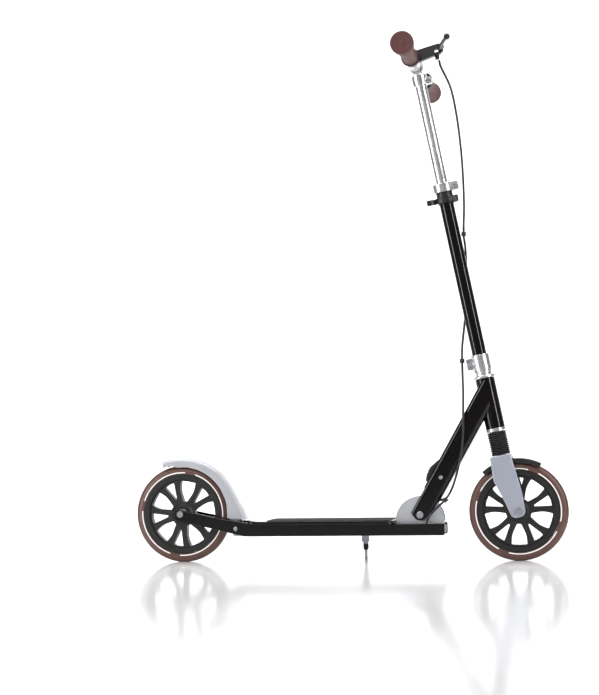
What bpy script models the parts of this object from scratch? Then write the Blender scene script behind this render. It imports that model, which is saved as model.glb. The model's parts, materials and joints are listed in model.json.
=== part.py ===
"""Folding kick scooter: two large wheels, a sprung fork, a folding neck, a telescopic handlebar and a hand brake.

Metres, +Z up, +X forward, +Y to the rider's left. The origin is on the ground, midway between the axles.
"""
import math

import bmesh
import bpy
from mathutils import Matrix, Vector

# Overall sizes
WHEELBASE = 0.7117
HANDLEBAR_LENGTH = 0.536
HEAD_ANGLE = math.radians(11)       # steering axis, back from vertical
FORK_RAKE = 0.0106                  # axle ahead of the steering axis
GAP = 0.0003                        # between pieces that touch or seat
RUN = 0.0004                        # between pieces that turn or slide

# Wheels
TYRE_RADIUS = 0.1025
TYRE_WIDTH = 0.030
TREAD_FLAT = 0.014                  # level band in the middle of the tread
TYRE_SEGMENTS = 40
RIM_RADIUS = TYRE_RADIUS - 0.0180
RIM_WIDTH = 0.026
WINDOW_RADIUS = TYRE_RADIUS - 0.0337              # outer end of the windows
HUB_RADIUS = 0.023
HUB_WIDTH = 0.028
WEB_WIDTH = 0.017
BEARING_RADIUS = 0.011
BEARING_WIDTH = 0.007
AXLE_RADIUS = 0.004
AXLE_BOLT_LENGTH = 0.0055
SPACER_RADIUS = 0.0075
WINDOWS = 5
FRONT_WINDOW_TURN = math.radians(-90)
REAR_WINDOW_TURN = math.radians(80)

# Deck
RAIL_OUTSIDE = 0.033                # centre plane to a rail's outer face
RAIL_WALL = 0.005
RAIL_BOTTOM = 0.0545
RAIL_TOP = 0.0790
DECK_FRONT = WHEELBASE / 2 - 0.15085
DECK_REAR = TYRE_RADIUS * 1.5 - WHEELBASE / 2 + 0.0021
BEAM_WALL = 0.0028
BOARD_FRONT = WHEELBASE / 2 - 0.25485
BOARD_REAR = TYRE_RADIUS * 1.5 - WHEELBASE / 2 - 0.0059
BOARD_WIDTH = 0.120
BOARD_THICKNESS = 0.0075
GRIP_TAPE = 0.0010
AXLE_BOLT_HEAD = 0.0073

# Folding joint
PIN_X = WHEELBASE / 2 - 0.20215
PIN_Z = 0.0963
PIN_RADIUS = 0.0050
PIN_HEAD = 0.0075
BRACKET_RADIUS = 0.0505
BRACKET_BEHIND_PIN = 0.0017
BRACKET_BELOW_PIN = 0.0118
BRACKET_OUTSIDE = 0.0175
BRACKET_PLATE = 0.005
BRACKET_FLANGE = 0.0045
BRACE_TILT = math.radians(29.7)     # forward from vertical
BRACE_DEPTH = 0.043
BRACE_WIDTH = 0.046
BRACE_WALL = 0.0032
BRACE_SLOT_RADIUS = 0.057           # clear of the bracket's rim at any fold
LATCH_DISTANCE = 0.0888             # pin to the latch's guide pin

# Head tube and column, as distances up the steering axis from the axle's foot
HEAD_TUBE_LOW = TYRE_RADIUS + 0.0740
HEAD_TUBE_HIGH = TYRE_RADIUS + 0.1790
COLUMN_RADIUS = 0.0150
COLUMN_WALL = 0.0015
HEAD_TUBE_RADIUS = COLUMN_RADIUS + 0.0050
HEAD_TUBE_WALL = 0.0028
HEAD_RING_HEIGHT = 0.0060
STEERER_RADIUS = COLUMN_RADIUS - COLUMN_WALL - GAP
STEERER_WALL = 0.0020
STEERER_LOW = TYRE_RADIUS + 0.0635
STEERER_HIGH = TYRE_RADIUS + 0.2275
HEADSET_HEIGHT = 0.0165
CLAMP_LOW = TYRE_RADIUS + 0.1960
CLAMP_HIGH = TYRE_RADIUS + 0.2295
CLAMP_RADIUS = COLUMN_RADIUS + 0.0040
COLUMN_HIGH = 0.6560
COLLAR_LOW = 0.6810
COLLAR_HIGH = 0.6990
COLLAR_RADIUS = COLUMN_RADIUS + 0.0060
COLLAR_BORE = COLUMN_RADIUS + 0.0015
INNER_RADIUS = COLUMN_RADIUS - 0.0030
INNER_WALL = 0.0016
INNER_LOW = 0.6000
HANDLEBAR_AT = 0.9490

# Fork and suspension
CROWN_HIGH = TYRE_RADIUS + 0.0171
CROWN_LOW = TYRE_RADIUS + 0.0075
FORK_OUTSIDE = 0.0320
FORK_LEG = 0.0080
FORK_END_RADIUS = 0.0135
POST_RADIUS = STEERER_RADIUS - STEERER_WALL - 0.0017
BELLOWS_RADIUS = COLUMN_RADIUS + 0.0055
BELLOWS_RIBS = 9
SUSPENSION_TRAVEL = 0.012
SPRING_TURNS = 5

# Fenders
FRONT_FENDER_RADIUS = TYRE_RADIUS + 0.0065
FRONT_FENDER_WALL = 0.0025
FRONT_FENDER_WIDTH = 0.0360
FRONT_FENDER_SKIRT = TYRE_RADIUS - 0.0040
FRONT_FENDER_AHEAD = math.radians(26.5)
FRONT_FENDER_BEHIND = math.radians(42)
REAR_FENDER_HALF = 0.0205
REAR_FENDER_WALL = 0.0020
REAR_FENDER_CROWN = TYRE_RADIUS + 0.0155
FENDER_PIVOT = (TYRE_RADIUS - WHEELBASE / 2 + 0.01685, 0.0707)
FENDER_SPRING_TURNS = 2
FENDER_SPRING_WIRE = 0.0006

# Handlebar
BAR_RADIUS = 0.0111
T_RADIUS = 0.0162
GRIP_LENGTH = 0.140
GRIP_WAIST = 0.0160
GRIP_FLARE = 0.0235
GRIP_RING_RADIUS = 0.0190
GRIP_RING_WIDTH = 0.005
PERCH_AT = 0.108                    # brake clamp's middle, from the centre plane
CABLE_RADIUS = 0.0025

SPIN_SEGMENTS = 20
BOLT_SEGMENTS = 10

# Worked-out places
AXLE_Z = TYRE_RADIUS * math.cos(math.pi / TYRE_SEGMENTS)
FRONT_AXLE = Vector((WHEELBASE / 2, 0, AXLE_Z))
REAR_AXLE = Vector((-WHEELBASE / 2, 0, AXLE_Z))
PIN = Vector((PIN_X, 0, PIN_Z))
AHEAD = Vector((math.cos(HEAD_ANGLE), 0, math.sin(HEAD_ANGLE)))
STEER_FOOT = FRONT_AXLE - AHEAD * FORK_RAKE

WORLD = Matrix.Identity(4)
STEER = Matrix.Translation(STEER_FOOT) @ Matrix.Rotation(-HEAD_ANGLE, 4, "Y")
BRACE = Matrix.Translation(PIN) @ Matrix.Rotation(BRACE_TILT, 4, "Y")
ACROSS = Matrix.Rotation(math.radians(-90), 4, "X")   # a turned piece's Z along +Y

# Places that several pieces share
BUTTON_LOW = 0.0660
BUTTON_HIGH = 0.1180
BUTTON_HALF = 0.0105
KICK_PIVOT = (0.0300, RAIL_OUTSIDE + 0.0070, RAIL_BOTTOM - 0.0110)
KICK_FOOT = (0.0268, RAIL_OUTSIDE + 0.0310, 0.0)
LEVER_LOW = 0.6585
LEVER_HIGH = 0.6700
LEVER_HALF = 0.0080
LEVER_PIVOT = (COLUMN_RADIUS + 0.0075, -0.0060, 0.0)
LEVER_X = 0.0625                    # brake lever's pivot ahead of the bar
CABLE_ENTRY = (0.1660, -0.0212, 0.0790)
NECK_CLIP = (0.2060, -0.0262, 0.1270)
UPPER_CLIP = (0.2545, 0.0, 0.6800)
LOWER_CLIP = (0.2455, 0.0, 0.4147)
PERCH = (STEER @ Matrix.Translation((0, -PERCH_AT, HANDLEBAR_AT)) @ Matrix.Rotation(math.radians(-3), 4, "Y") @ ACROSS)

CABLE_UPPER = [(0.2213, -0.1060, 1.0265), (0.2250, -0.1050, 1.0120), (0.2420, -0.0900, 0.9720), (0.2510, -0.0700, 0.9200),
               (0.2560, -0.0480, 0.8600), (0.2580, -0.0280, 0.8000), (0.2575, -0.0120, 0.7400), (0.2550, -0.0020, 0.7000),
               (0.2545, 0.0, 0.6850)]
CABLE_COLUMN = [(0.2545, 0.0, 0.6840), (0.2545, 0.0, 0.6750), (0.2570, 0.0060, 0.6500), (0.2570, 0.0150, 0.6150),
                (0.2560, 0.0210, 0.5700), (0.2540, 0.0210, 0.5300), (0.2500, 0.0130, 0.4850), (0.2460, 0.0030, 0.4450),
                (0.2455, 0.0, 0.4190), (0.2455, 0.0, 0.4100), (0.2460, -0.0030, 0.3850), (0.2475, -0.0150, 0.3450),
                (0.2475, -0.0250, 0.3100), (0.2475, -0.0270, 0.2920)]
CABLE_NECK = [(0.2475, -0.0270, 0.2915), (0.2470, -0.0270, 0.2700), (0.2440, -0.0270, 0.2350), (0.2370, -0.0268, 0.2020),
              (0.2290, -0.0265, 0.1720), (0.2190, -0.0263, 0.1460), (0.2060, -0.0262, 0.1270), (0.1900, -0.0262, 0.1120),
              (0.1775, -0.0258, 0.1000), (0.1705, -0.0238, 0.0910), (0.1672, -0.0215, 0.0843)]
CABLE_DECK = [(0.1668, -0.0214, 0.0822), (0.1660, -0.0212, 0.0750), (0.1640, -0.0205, 0.0690), (0.1560, -0.0170, 0.0640),
              (0.1400, -0.0100, 0.0640), (0.1000, -0.0040, 0.0650), (0.0000, 0.0, 0.0650), (-0.1000, 0.0, 0.0650), (-0.1900, 0.0, 0.0640),
              (-0.2150, 0.0, 0.0610), (-0.2320, 0.0, 0.0592)]


def remove_everything():
    for old in list(bpy.data.objects):
        bpy.data.objects.remove(old, do_unlink=True)


def paint(name, colour, roughness, metallic):
    made = bpy.data.materials.new(name)
    made.use_nodes = True
    shader = made.node_tree.nodes["Principled BSDF"]
    shader.inputs["Base Color"].default_value = (*colour, 1)
    shader.inputs["Roughness"].default_value = roughness
    shader.inputs["Metallic"].default_value = metallic
    made.diffuse_color = (*colour, 1)
    return made


def pivot(name, place):
    """An empty on a joint's axis, which the pieces of that body hang from."""
    empty = bpy.data.objects.new(name, None)
    empty.empty_display_size = 0.03
    empty.matrix_world = place
    bpy.context.scene.collection.objects.link(empty)
    return empty


def add(name, bm, finish, holder, place=WORLD):
    """Make an object of the mesh, drawn in the frame place, hanging from the empty holder."""
    bmesh.ops.recalc_face_normals(bm, faces=bm.faces)
    mesh = bpy.data.meshes.new(name)
    bm.to_mesh(mesh)
    bm.free()
    mesh.shade_smooth()
    mesh.set_sharp_from_angle(angle=math.radians(35))
    mesh.materials.append(finish)
    made = bpy.data.objects.new(name, mesh)
    bpy.context.scene.collection.objects.link(made)
    made.parent = holder
    made.matrix_basis = holder.matrix_basis.inverted() @ place
    return made


def helper(target, bm, operation, place=None):
    """Cut the mesh from target, or join it on. The mesh is drawn in the frame place."""
    bmesh.ops.recalc_face_normals(bm, faces=bm.faces)
    number = len(target.modifiers) + 1
    mesh = bpy.data.meshes.new(f"{target.name}_{operation.lower()}_{number}")
    bm.to_mesh(mesh)
    bm.free()
    made = bpy.data.objects.new(mesh.name, mesh)
    bpy.context.scene.collection.objects.link(made)
    made.parent = target.parent
    made.matrix_basis = target.matrix_basis if place is None else target.parent.matrix_basis.inverted() @ place
    made.hide_render = True
    made.display_type = "WIRE"
    modifier = target.modifiers.new(mesh.name, "BOOLEAN")
    modifier.operation = operation
    modifier.object = made


def cut(target, bm, place=None):
    helper(target, bm, "DIFFERENCE", place)


def join(target, bm, place=None):
    helper(target, bm, "UNION", place)


def bevel(target, width, segments=2):
    modifier = target.modifiers.new("bevel", "BEVEL")
    modifier.width = width
    modifier.segments = segments
    modifier.limit_method = "ANGLE"
    modifier.angle_limit = math.radians(40)


def turned(outline, segments=SPIN_SEGMENTS, bm=None, move=None):
    """A solid turned about Z from the outline's (radius, height) points, with a flat facing each way."""
    bm = bm or bmesh.new()
    old = set(bm.verts)
    verts = [bm.verts.new((radius, 0, height)) for radius, height in outline]
    pairs = zip(verts, verts[1:] + verts[:1])
    edges = [bm.edges.new(pair) for pair in pairs if max(pair[0].co.x, pair[1].co.x) > 0]
    turn = Matrix.Rotation(math.pi / segments, 3, "Z")
    bmesh.ops.rotate(bm, verts=verts, cent=(0, 0, 0), matrix=turn)
    bmesh.ops.spin(bm, geom=verts + edges, cent=(0, 0, 0), axis=(0, 0, 1), angle=2 * math.pi, steps=segments,
                   use_merge=True)
    new = [v for v in bm.verts if v not in old]
    bmesh.ops.remove_doubles(bm, verts=new, dist=1e-6)
    new = [v for v in bm.verts if v not in old]
    if move is not None:
        bmesh.ops.transform(bm, matrix=move, verts=new)
    return bm


def rod(radius, low, high, segments=SPIN_SEGMENTS, **more):
    return turned([(0, low), (radius, low), (radius, high), (0, high)], segments, **more)


def ring(outer, inner, low, high, segments=SPIN_SEGMENTS, **more):
    return turned([(outer, low), (outer, high), (inner, high), (inner, low)], segments, **more)


def slab(outline, low, high, bm=None, move=None):
    """A flat piece with an outline of (x, z) points, from y = low to y = high."""
    bm = bm or bmesh.new()
    face = bm.faces.new([bm.verts.new((x, low, z)) for x, z in outline])
    made = bmesh.ops.extrude_face_region(bm, geom=[face])["geom"]
    far = [v for v in made if isinstance(v, bmesh.types.BMVert)]
    bmesh.ops.translate(bm, verts=far, vec=(0, high - low, 0))
    if move is not None:
        bmesh.ops.transform(bm, matrix=move, verts=list(face.verts) + far)
    return bm


def plate(outline, low, high, bm=None, move=WORLD):
    """A flat piece with a plan of (x, y) points, from z = low to z = high."""
    lay = move @ Matrix.Rotation(math.pi / 2, 4, "X")
    return slab([(x, -y) for x, y in outline], low, high, bm=bm, move=lay)


def box(low, high, **more):
    corners = [(low[0], low[2]), (high[0], low[2]), (high[0], high[2]), (low[0], high[2])]
    return slab(corners, low[1], high[1], **more)


def rounded(corners, steps=4):
    """The outline through corners of (x, z, radius), each rounded by an arc of its radius."""
    points = []
    for number, (x, z, radius) in enumerate(corners):
        here = Vector((x, z))
        if radius == 0:
            points.append(here)
            continue
        before = (Vector(corners[number - 1][:2]) - here).normalized()
        after = (Vector(corners[(number + 1) % len(corners)][:2]) - here).normalized()
        half = before.angle(after) / 2
        centre = here + (before + after).normalized() * radius / math.sin(half)
        start = here + before * radius / math.tan(half) - centre
        end = here + after * radius / math.tan(half) - centre
        sweep = math.atan2(start.x * end.y - start.y * end.x, start.dot(end))
        for step in range(steps + 1):
            points.append(centre + Matrix.Rotation(sweep * step / steps, 2) @ start)
    return points


def disc(x, z, radius, segments=SPIN_SEGMENTS):
    step = 2 * math.pi / segments
    return [(x + radius * math.cos(step * (n + 0.5)), z + radius * math.sin(step * (n + 0.5)))
            for n in range(segments)]


def rectangle(width, height, radius):
    half, tall = width / 2, height / 2
    return rounded([(-half, -tall, radius), (half, -tall, radius), (half, tall, radius), (-half, tall, radius)])


def arc(radius, start, end, steps):
    """Points of (x, z) on a circle about the origin; angles from +X."""
    return [(radius * math.cos(start + (end - start) * n / steps), radius * math.sin(start + (end - start) * n / steps))
            for n in range(steps + 1)]


def pipe(name, points, radius, finish, holder, spacing, sides=2):
    """A round cord along a smooth curve through the points, with an even spacing."""
    spots = [Vector(point) for point in points]
    ends = [spots[0] * 2 - spots[1]] + spots + [spots[-1] * 2 - spots[-2]]
    fine = [spots[0]]
    for before, here, there, after in zip(ends, ends[1:], ends[2:], ends[3:]):
        for step in range(1, 13):
            t = step / 12
            fine.append(0.5 * (2 * here + (there - before) * t + (2 * before - 5 * here + 4 * there - after) * t ** 2
                               + (3 * here - before - 3 * there + after) * t ** 3))
    run = [0.0]
    for here, there in zip(fine, fine[1:]):
        run.append(run[-1] + (there - here).length)
    count = max(2, round(run[-1] / spacing))
    curve = bpy.data.curves.new(name, "CURVE")
    curve.dimensions = "3D"
    curve.bevel_depth = radius
    curve.bevel_resolution = sides
    curve.use_fill_caps = True
    spline = curve.splines.new("POLY")
    spline.points.add(count)
    place = 0
    for number in range(count + 1):
        want = run[-1] * number / count
        while place < len(run) - 2 and run[place + 1] < want:
            place += 1
        share = (want - run[place]) / (run[place + 1] - run[place])
        spot = fine[place].lerp(fine[place + 1], share)
        spline.points[number].co = (*(holder.matrix_basis.inverted() @ spot), 1)
    curve.materials.append(finish)
    made = bpy.data.objects.new(name, curve)
    bpy.context.scene.collection.objects.link(made)
    made.parent = holder
    return made


def bolt(bm, shank, head, low, high, head_height, move=None):
    """A bolt along Z: a head below low, a shank from low to high, and a nut above high."""
    outline = [(0, low - head_height), (head * 0.86, low - head_height), (head, low - head_height * 0.7), (head, low),
               (shank, low), (shank, high), (head, high), (head, high + head_height * 0.7),
               (head * 0.86, high + head_height), (0, high + head_height)]
    return turned(outline, BOLT_SEGMENTS, bm=bm, move=move)


# ---------------------------------------------------------------- materials
def make_materials():
    return {
        "black": paint("gloss_black_paint", (0.012, 0.011, 0.011), 0.18, 0.0),
        "plastic": paint("black_plastic", (0.018, 0.018, 0.019), 0.45, 0.0),
        "rubber": paint("black_rubber", (0.02, 0.02, 0.02), 0.75, 0.0),
        "tape": paint("grip_tape", (0.03, 0.03, 0.03), 0.9, 0.0),
        "tyre": paint("brown_urethane", (0.115, 0.052, 0.042), 0.4, 0.0),
        "grip": paint("brown_rubber", (0.13, 0.045, 0.035), 0.6, 0.0),
        "satin": paint("satin_silver_paint", (0.50, 0.53, 0.60), 0.35, 0.4),
        "polished": paint("polished_aluminium", (0.80, 0.79, 0.80), 0.18, 1.0),
        "steel": paint("zinc_steel", (0.60, 0.60, 0.62), 0.3, 1.0),
    }


# ---------------------------------------------------------------- wheels
def wheel(prefix, holder, centre, window_turn, look):
    """A moulded core with ten windows, a urethane tyre on its rim and two bearings in its hub."""
    place = Matrix.Translation(centre) @ ACROSS
    half, flat, shoulder = TYRE_WIDTH / 2, TREAD_FLAT / 2, TYRE_RADIUS - 0.0045
    seat = RIM_RADIUS + GAP
    side = [(seat, RIM_WIDTH / 2), (seat + 0.002, half - 0.001), (TYRE_RADIUS - 0.012, half), (shoulder, half - 0.0035),
            (TYRE_RADIUS, flat)]
    outline = side + [(radius, -height) for radius, height in reversed(side)]
    add(prefix + "_tyre", turned(outline, TYRE_SEGMENTS), look["tyre"], holder, place)

    rim, hub, web = RIM_WIDTH / 2, HUB_WIDTH / 2, WEB_WIDTH / 2
    bore = BEARING_RADIUS + GAP
    shelf = hub - BEARING_WIDTH
    face = [(BEARING_RADIUS - 0.003, shelf), (bore, shelf), (bore, hub), (HUB_RADIUS - 0.005, hub),
            (HUB_RADIUS, web + 0.001), (WINDOW_RADIUS + 0.0015, web), (WINDOW_RADIUS + 0.005, rim),
            (RIM_RADIUS, rim)]
    outline = face + [(radius, -height) for radius, height in reversed(face)]
    core = add(prefix + "_wheel_core", turned(outline, TYRE_SEGMENTS), look["plastic"], holder, place)
    windows = bmesh.new()
    large = rounded([(0.0265, -0.0042, 0.002), (0.049, -0.0150, 0.012), (WINDOW_RADIUS, -0.0165, 0.003),
                     (WINDOW_RADIUS + 0.0008, 0, 0.0), (WINDOW_RADIUS, 0.0165, 0.003), (0.049, 0.0150, 0.012),
                     (0.0265, 0.0042, 0.002)], 1)
    small = rounded([(0.0335, -0.0015, 0.0), (WINDOW_RADIUS - 0.001, -0.0112, 0.0015), (WINDOW_RADIUS + 0.0005, 0, 0.0),
                     (WINDOW_RADIUS - 0.001, 0.0112, 0.0015), (0.0335, 0.0015, 0.0)], 1)
    for number in range(2 * WINDOWS):
        turn = window_turn + math.pi * number / WINDOWS
        shape = small if number % 2 else large
        slab(shape, -HUB_WIDTH, HUB_WIDTH, bm=windows, move=Matrix.Rotation(-turn, 4, "Y"))
    cut(core, windows, Matrix.Translation(centre))

    inner = AXLE_RADIUS + RUN
    side = [(inner + 0.0015, shelf + GAP), (BEARING_RADIUS, shelf + GAP), (BEARING_RADIUS, hub), (inner, hub)]
    outline = [(radius, -height) for radius, height in reversed(side)] + side
    add(prefix + "_bearings", turned(outline, 16), look["steel"], holder, place)


def axle(name, holder, centre, inside, outside, look):
    """A through bolt with a head and a nut outside the arms, and a shoulder beside each bearing."""
    near, far, end, tall = HUB_WIDTH / 2 + RUN, inside - GAP, outside + GAP, AXLE_BOLT_LENGTH
    side = [(AXLE_RADIUS, near), (SPACER_RADIUS, near), (SPACER_RADIUS, far), (AXLE_RADIUS, far), (AXLE_RADIUS, end),
            (AXLE_BOLT_HEAD, end), (AXLE_BOLT_HEAD, end + tall * 0.7), (AXLE_BOLT_HEAD * 0.86, end + tall), (0, end + tall)]
    outline = [(radius, -height) for radius, height in reversed(side)] + side
    add(name, turned(outline, BOLT_SEGMENTS), look["steel"], holder, Matrix.Translation(centre) @ ACROSS)


# ---------------------------------------------------------------- deck
def make_deck(root, look):
    bend = FENDER_PIVOT[0]
    rail = rounded([(DECK_FRONT, RAIL_BOTTOM, 0.004), (DECK_FRONT, RAIL_TOP, 0.003), (bend + 0.0485, RAIL_TOP, 0.03),
                    (bend - 0.0235, (RAIL_TOP + AXLE_Z) / 2, 0.0), (REAR_AXLE.x - 0.0130, AXLE_Z + 0.0115, 0.004),
                    (REAR_AXLE.x - 0.0130, AXLE_Z - 0.0135, 0.004),
                    (bend - 0.0535, RAIL_BOTTOM * 0.484 + (AXLE_Z - 0.0135) * 0.516, 0.0),
                    (bend + 0.0165, RAIL_BOTTOM, 0.06)], 5)
    fender_x, fender_z = FENDER_PIVOT
    for side, way in (("right", -1), ("left", 1)):
        outer, inner = way * RAIL_OUTSIDE, way * (RAIL_OUTSIDE - RAIL_WALL)
        made = add(f"side_rail_{side}", slab(rail, min(outer, inner), max(outer, inner)), look["black"], root)
        holes = slab(disc(REAR_AXLE.x, AXLE_Z, AXLE_RADIUS + GAP, 16), -0.05, 0.05)
        slab(disc(fender_x, fender_z, 0.003 + GAP, 16), -0.05, 0.05, bm=holes)
        bevel(made, 0.0012, 1)
        cut(made, holes)

    inside = RAIL_OUTSIDE - RAIL_WALL - GAP
    beam_front = DECK_FRONT - 0.004
    beam = add("deck_beam", box((DECK_REAR, -inside, RAIL_BOTTOM + 0.0008), (beam_front, inside, RAIL_TOP - 0.0008)),
               look["black"], root)
    hollow = box((DECK_REAR - 0.01, -inside + BEAM_WALL, RAIL_BOTTOM + 0.0008 + BEAM_WALL),
                 (beam_front + 0.01, inside - BEAM_WALL, RAIL_TOP - 0.0008 - BEAM_WALL))
    cut(beam, hollow)
    entry = Matrix.Translation((CABLE_ENTRY[0], CABLE_ENTRY[1], RAIL_TOP - 0.01))
    cut(beam, rod(CABLE_RADIUS + 0.0015, 0.001, 0.02, 12), entry)

    cap = box((beam_front - 0.012, -inside + BEAM_WALL + GAP, RAIL_BOTTOM + 0.0008 + BEAM_WALL + GAP),
              (DECK_FRONT - 0.001, inside - BEAM_WALL - GAP, RAIL_TOP - 0.0008 - BEAM_WALL - GAP))
    bevel(add("front_end_cap", cap, look["plastic"], root), 0.001, 1)

    low = RAIL_TOP + GAP
    high = low + BOARD_THICKNESS
    rise = 0.004
    board = [(BOARD_FRONT, low), (BOARD_FRONT, high), (BOARD_REAR + 0.03, high)]
    board += [(BOARD_REAR + 0.03 - 0.03 * n / 4, high + rise * (n / 4) ** 2) for n in (1, 2, 3, 4)]
    board += [(BOARD_REAR + 0.03 - 0.03 * n / 4, low + rise * (n / 4) ** 2) for n in (4, 3, 2, 1)]
    board += [(BOARD_REAR + 0.03, low)]
    made = add("foot_board", slab(board, -BOARD_WIDTH / 2, BOARD_WIDTH / 2), look["black"], root)
    middle = Matrix.Translation(((BOARD_FRONT + BOARD_REAR) / 2, 0, 0))
    corner = plate(rectangle(BOARD_FRONT - BOARD_REAR, BOARD_WIDTH, 0.016), 0, 0.2, move=middle)
    keep = made.modifiers.new("rounded_corners", "BOOLEAN")
    keep.operation = "INTERSECT"
    shape = bpy.data.meshes.new("foot_board_plan")
    bmesh.ops.recalc_face_normals(corner, faces=corner.faces)
    corner.to_mesh(shape)
    corner.free()
    plan = bpy.data.objects.new("foot_board_plan", shape)
    bpy.context.scene.collection.objects.link(plan)
    plan.hide_render = True
    plan.display_type = "WIRE"
    keep.object = plan

    tape = rectangle(BOARD_FRONT - BOARD_REAR - 0.048, BOARD_WIDTH - 0.014, 0.010)
    shift = middle @ Matrix.Translation((0.017, 0, 0))
    add("grip_tape", plate(tape, high + GAP, high + GAP + GRIP_TAPE, move=shift), look["tape"], root)
    axle("rear_axle", root, REAR_AXLE, RAIL_OUTSIDE - RAIL_WALL, RAIL_OUTSIDE, look)


def make_fold_bracket(root, look):
    """Two half-disc plates on a flange: the neck's cheeks turn outside them."""
    base = RAIL_TOP + GAP
    centre_x, centre_z = PIN_X - BRACKET_BEHIND_PIN, PIN_Z - BRACKET_BELOW_PIN
    start = math.asin((base - centre_z) / BRACKET_RADIUS)
    outline = [(centre_x + x, centre_z + z) for x, z in arc(BRACKET_RADIUS, start, math.pi - start, 22)]
    made = add("fold_bracket", slab(outline, -BRACKET_OUTSIDE, BRACKET_OUTSIDE), look["satin"], root)
    inside = BRACKET_OUTSIDE - BRACKET_PLATE
    cut(made, box((centre_x - 0.1, -inside, base + BRACKET_FLANGE), (centre_x + 0.1, inside, 0.2)))
    cut(made, slab(disc(PIN_X, PIN_Z, PIN_RADIUS + RUN, 16), -0.05, 0.05))


def make_fender_hinge(root, body, look):
    x, z = FENDER_PIVOT
    inside = RAIL_OUTSIDE - RAIL_WALL
    place = Matrix.Translation((x, 0, z)) @ ACROSS
    add("fender_pivot_bolt", bolt(None, 0.003, 0.0045, -RAIL_OUTSIDE - GAP, RAIL_OUTSIDE + GAP, 0.003), look["steel"],
        root, place)
    low, high = REAR_FENDER_HALF + 0.0016, inside - 0.0016
    steps = FENDER_SPRING_TURNS * 10
    helix = []
    for number in range(steps + 1):
        angle = 2 * math.pi * number / 10
        across = low + (high - low) * number / steps
        helix.append((x + 0.0060 * math.cos(angle), across, z + 0.0060 * math.sin(angle)))
    pipe("fender_spring", helix, FENDER_SPRING_WIRE, look["steel"], root, 0.0037, 1)

    reach = AXLE_Z - 0.0035
    arm = rounded([(x - 0.009, z - 0.016, 0.004), (x + 0.007, z - 0.016, 0.004), (x + 0.010, z + 0.002, 0.004),
                   (x - 0.001, reach, 0.003), (x - 0.018, reach, 0.003), (x - 0.010, z + 0.002, 0.004)], 2)
    outer = REAR_FENDER_HALF - REAR_FENDER_WALL - GAP
    inner = outer - 0.0025
    made = add("fender_hinge_arms", slab(arm, -outer, -inner), look["steel"], body)
    join(made, slab(arm, inner, outer))
    join(made, slab(disc(x, z, 0.0055, 16), -outer + 0.001, outer - 0.001))
    join(made, slab(disc(x - 0.002, z - 0.0115, 0.0025, 12), -outer + 0.001, outer - 0.001))
    cut(made, slab(disc(x, z, 0.003 + RUN, 16), -0.05, 0.05))


def make_rear_fender(body, look):
    """A pressed arch: each station has a top point and the lower edge of its side skirts."""
    x, z = REAR_AXLE.x, AXLE_Z
    crown = REAR_FENDER_CROWN
    rim_edge = TYRE_RADIUS - 0.0030
    stations = []
    for degrees in (112, 104, 95, 84, 73, 62, 50, 40, 31):
        angle = math.radians(degrees)
        lift = 0.0012 * max(0, degrees - 95) / 17
        edge = rim_edge if degrees < 104 else rim_edge + 0.006
        stations.append(((x + (crown + lift) * math.cos(angle), z + (crown + lift) * math.sin(angle)),
                         (x + edge * math.cos(angle), z + edge * math.sin(angle))))
    pivot_x = FENDER_PIVOT[0]
    stations.append(((pivot_x + 0.0010, z + 0.0245), (x + rim_edge * math.cos(0.26), z + rim_edge * math.sin(0.26))))
    stations.append(((pivot_x + 0.0095, z + 0.0075), (x + rim_edge - 0.001, z + 0.005)))
    stations.append(((pivot_x + 0.0170, z - 0.0125), (x + rim_edge - 0.0005, z - 0.0100)))
    half, round_off = REAR_FENDER_HALF, 0.006
    bm = bmesh.new()
    rows = []
    for (top_x, top_z), (edge_x, edge_z) in stations:
        top, edge = Vector((top_x, 0, top_z)), Vector((edge_x, 0, edge_z))
        down = (edge - top).normalized()
        row = [(edge, -half), (top + down * round_off, -half), (top + down * round_off * 0.3, -half + round_off * 0.3),
               (top - down * 0.0004, -half + round_off * 1.1), (top - down * 0.0012, 0)]
        row += [(spot, -across) for spot, across in reversed(row[:-1])]
        rows.append([bm.verts.new((spot.x, across, spot.z)) for spot, across in row])
    for here, there in zip(rows, rows[1:]):
        for n in range(len(here) - 1):
            bm.faces.new((here[n], here[n + 1], there[n + 1], there[n]))
    made = add("rear_fender", bm, look["satin"], body)
    wall = made.modifiers.new("wall", "SOLIDIFY")
    wall.thickness = REAR_FENDER_WALL
    wall.offset = -1
    wall.use_even_offset = True


def make_kickstand(root, body, look):
    x, y, z = KICK_PIVOT
    foot = Vector(KICK_FOOT)
    top = RAIL_BOTTOM - GAP
    flange = box((x - 0.012, y - 0.024, top - 0.0025), (x + 0.012, y + 0.006, top))
    made = add("kickstand_bracket", flange, look["satin"], root)
    lug = rounded([(x - 0.008, z - 0.007, 0.004), (x + 0.008, z - 0.007, 0.004), (x + 0.008, top - 0.001, 0.0),
                   (x - 0.008, top - 0.001, 0.0)], 3)
    join(made, slab(lug, y - 0.0082, y - 0.0058))
    headed = [(0, -0.0070), (0.0020, -0.0070), (0.0020, 0.0034), (0.0030, 0.0034), (0.0030, 0.0050), (0, 0.0050)]
    join(made, turned(headed, 12), Matrix.Translation((x, y, z)) @ ACROSS)

    lean = (foot - Vector((x, y, z))).normalized()
    along = Matrix.Translation((x, y - 0.0030, z)) @ Vector((0, 0, 1)).rotation_difference(lean).to_matrix().to_4x4()
    length = (foot.z - z) / lean.z
    eye = slab(disc(x, z, 0.0058, 16), y - 0.0054, y + 0.0030)
    leg = add("kickstand_leg", eye, look["steel"], body)
    join(leg, rod(0.0033, 0.003, length + 0.003, 14), along)
    cut(leg, slab(disc(x, z, 0.0020 + RUN, 12), -0.1, 0.1))
    cut(leg, box((-1, -1, -0.05), (1, 1, 0)))
    add("kickstand_sleeve", ring(0.0058, 0.0033 + GAP, 0.0105, 0.0240, 14), look["rubber"], body, along)


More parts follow.
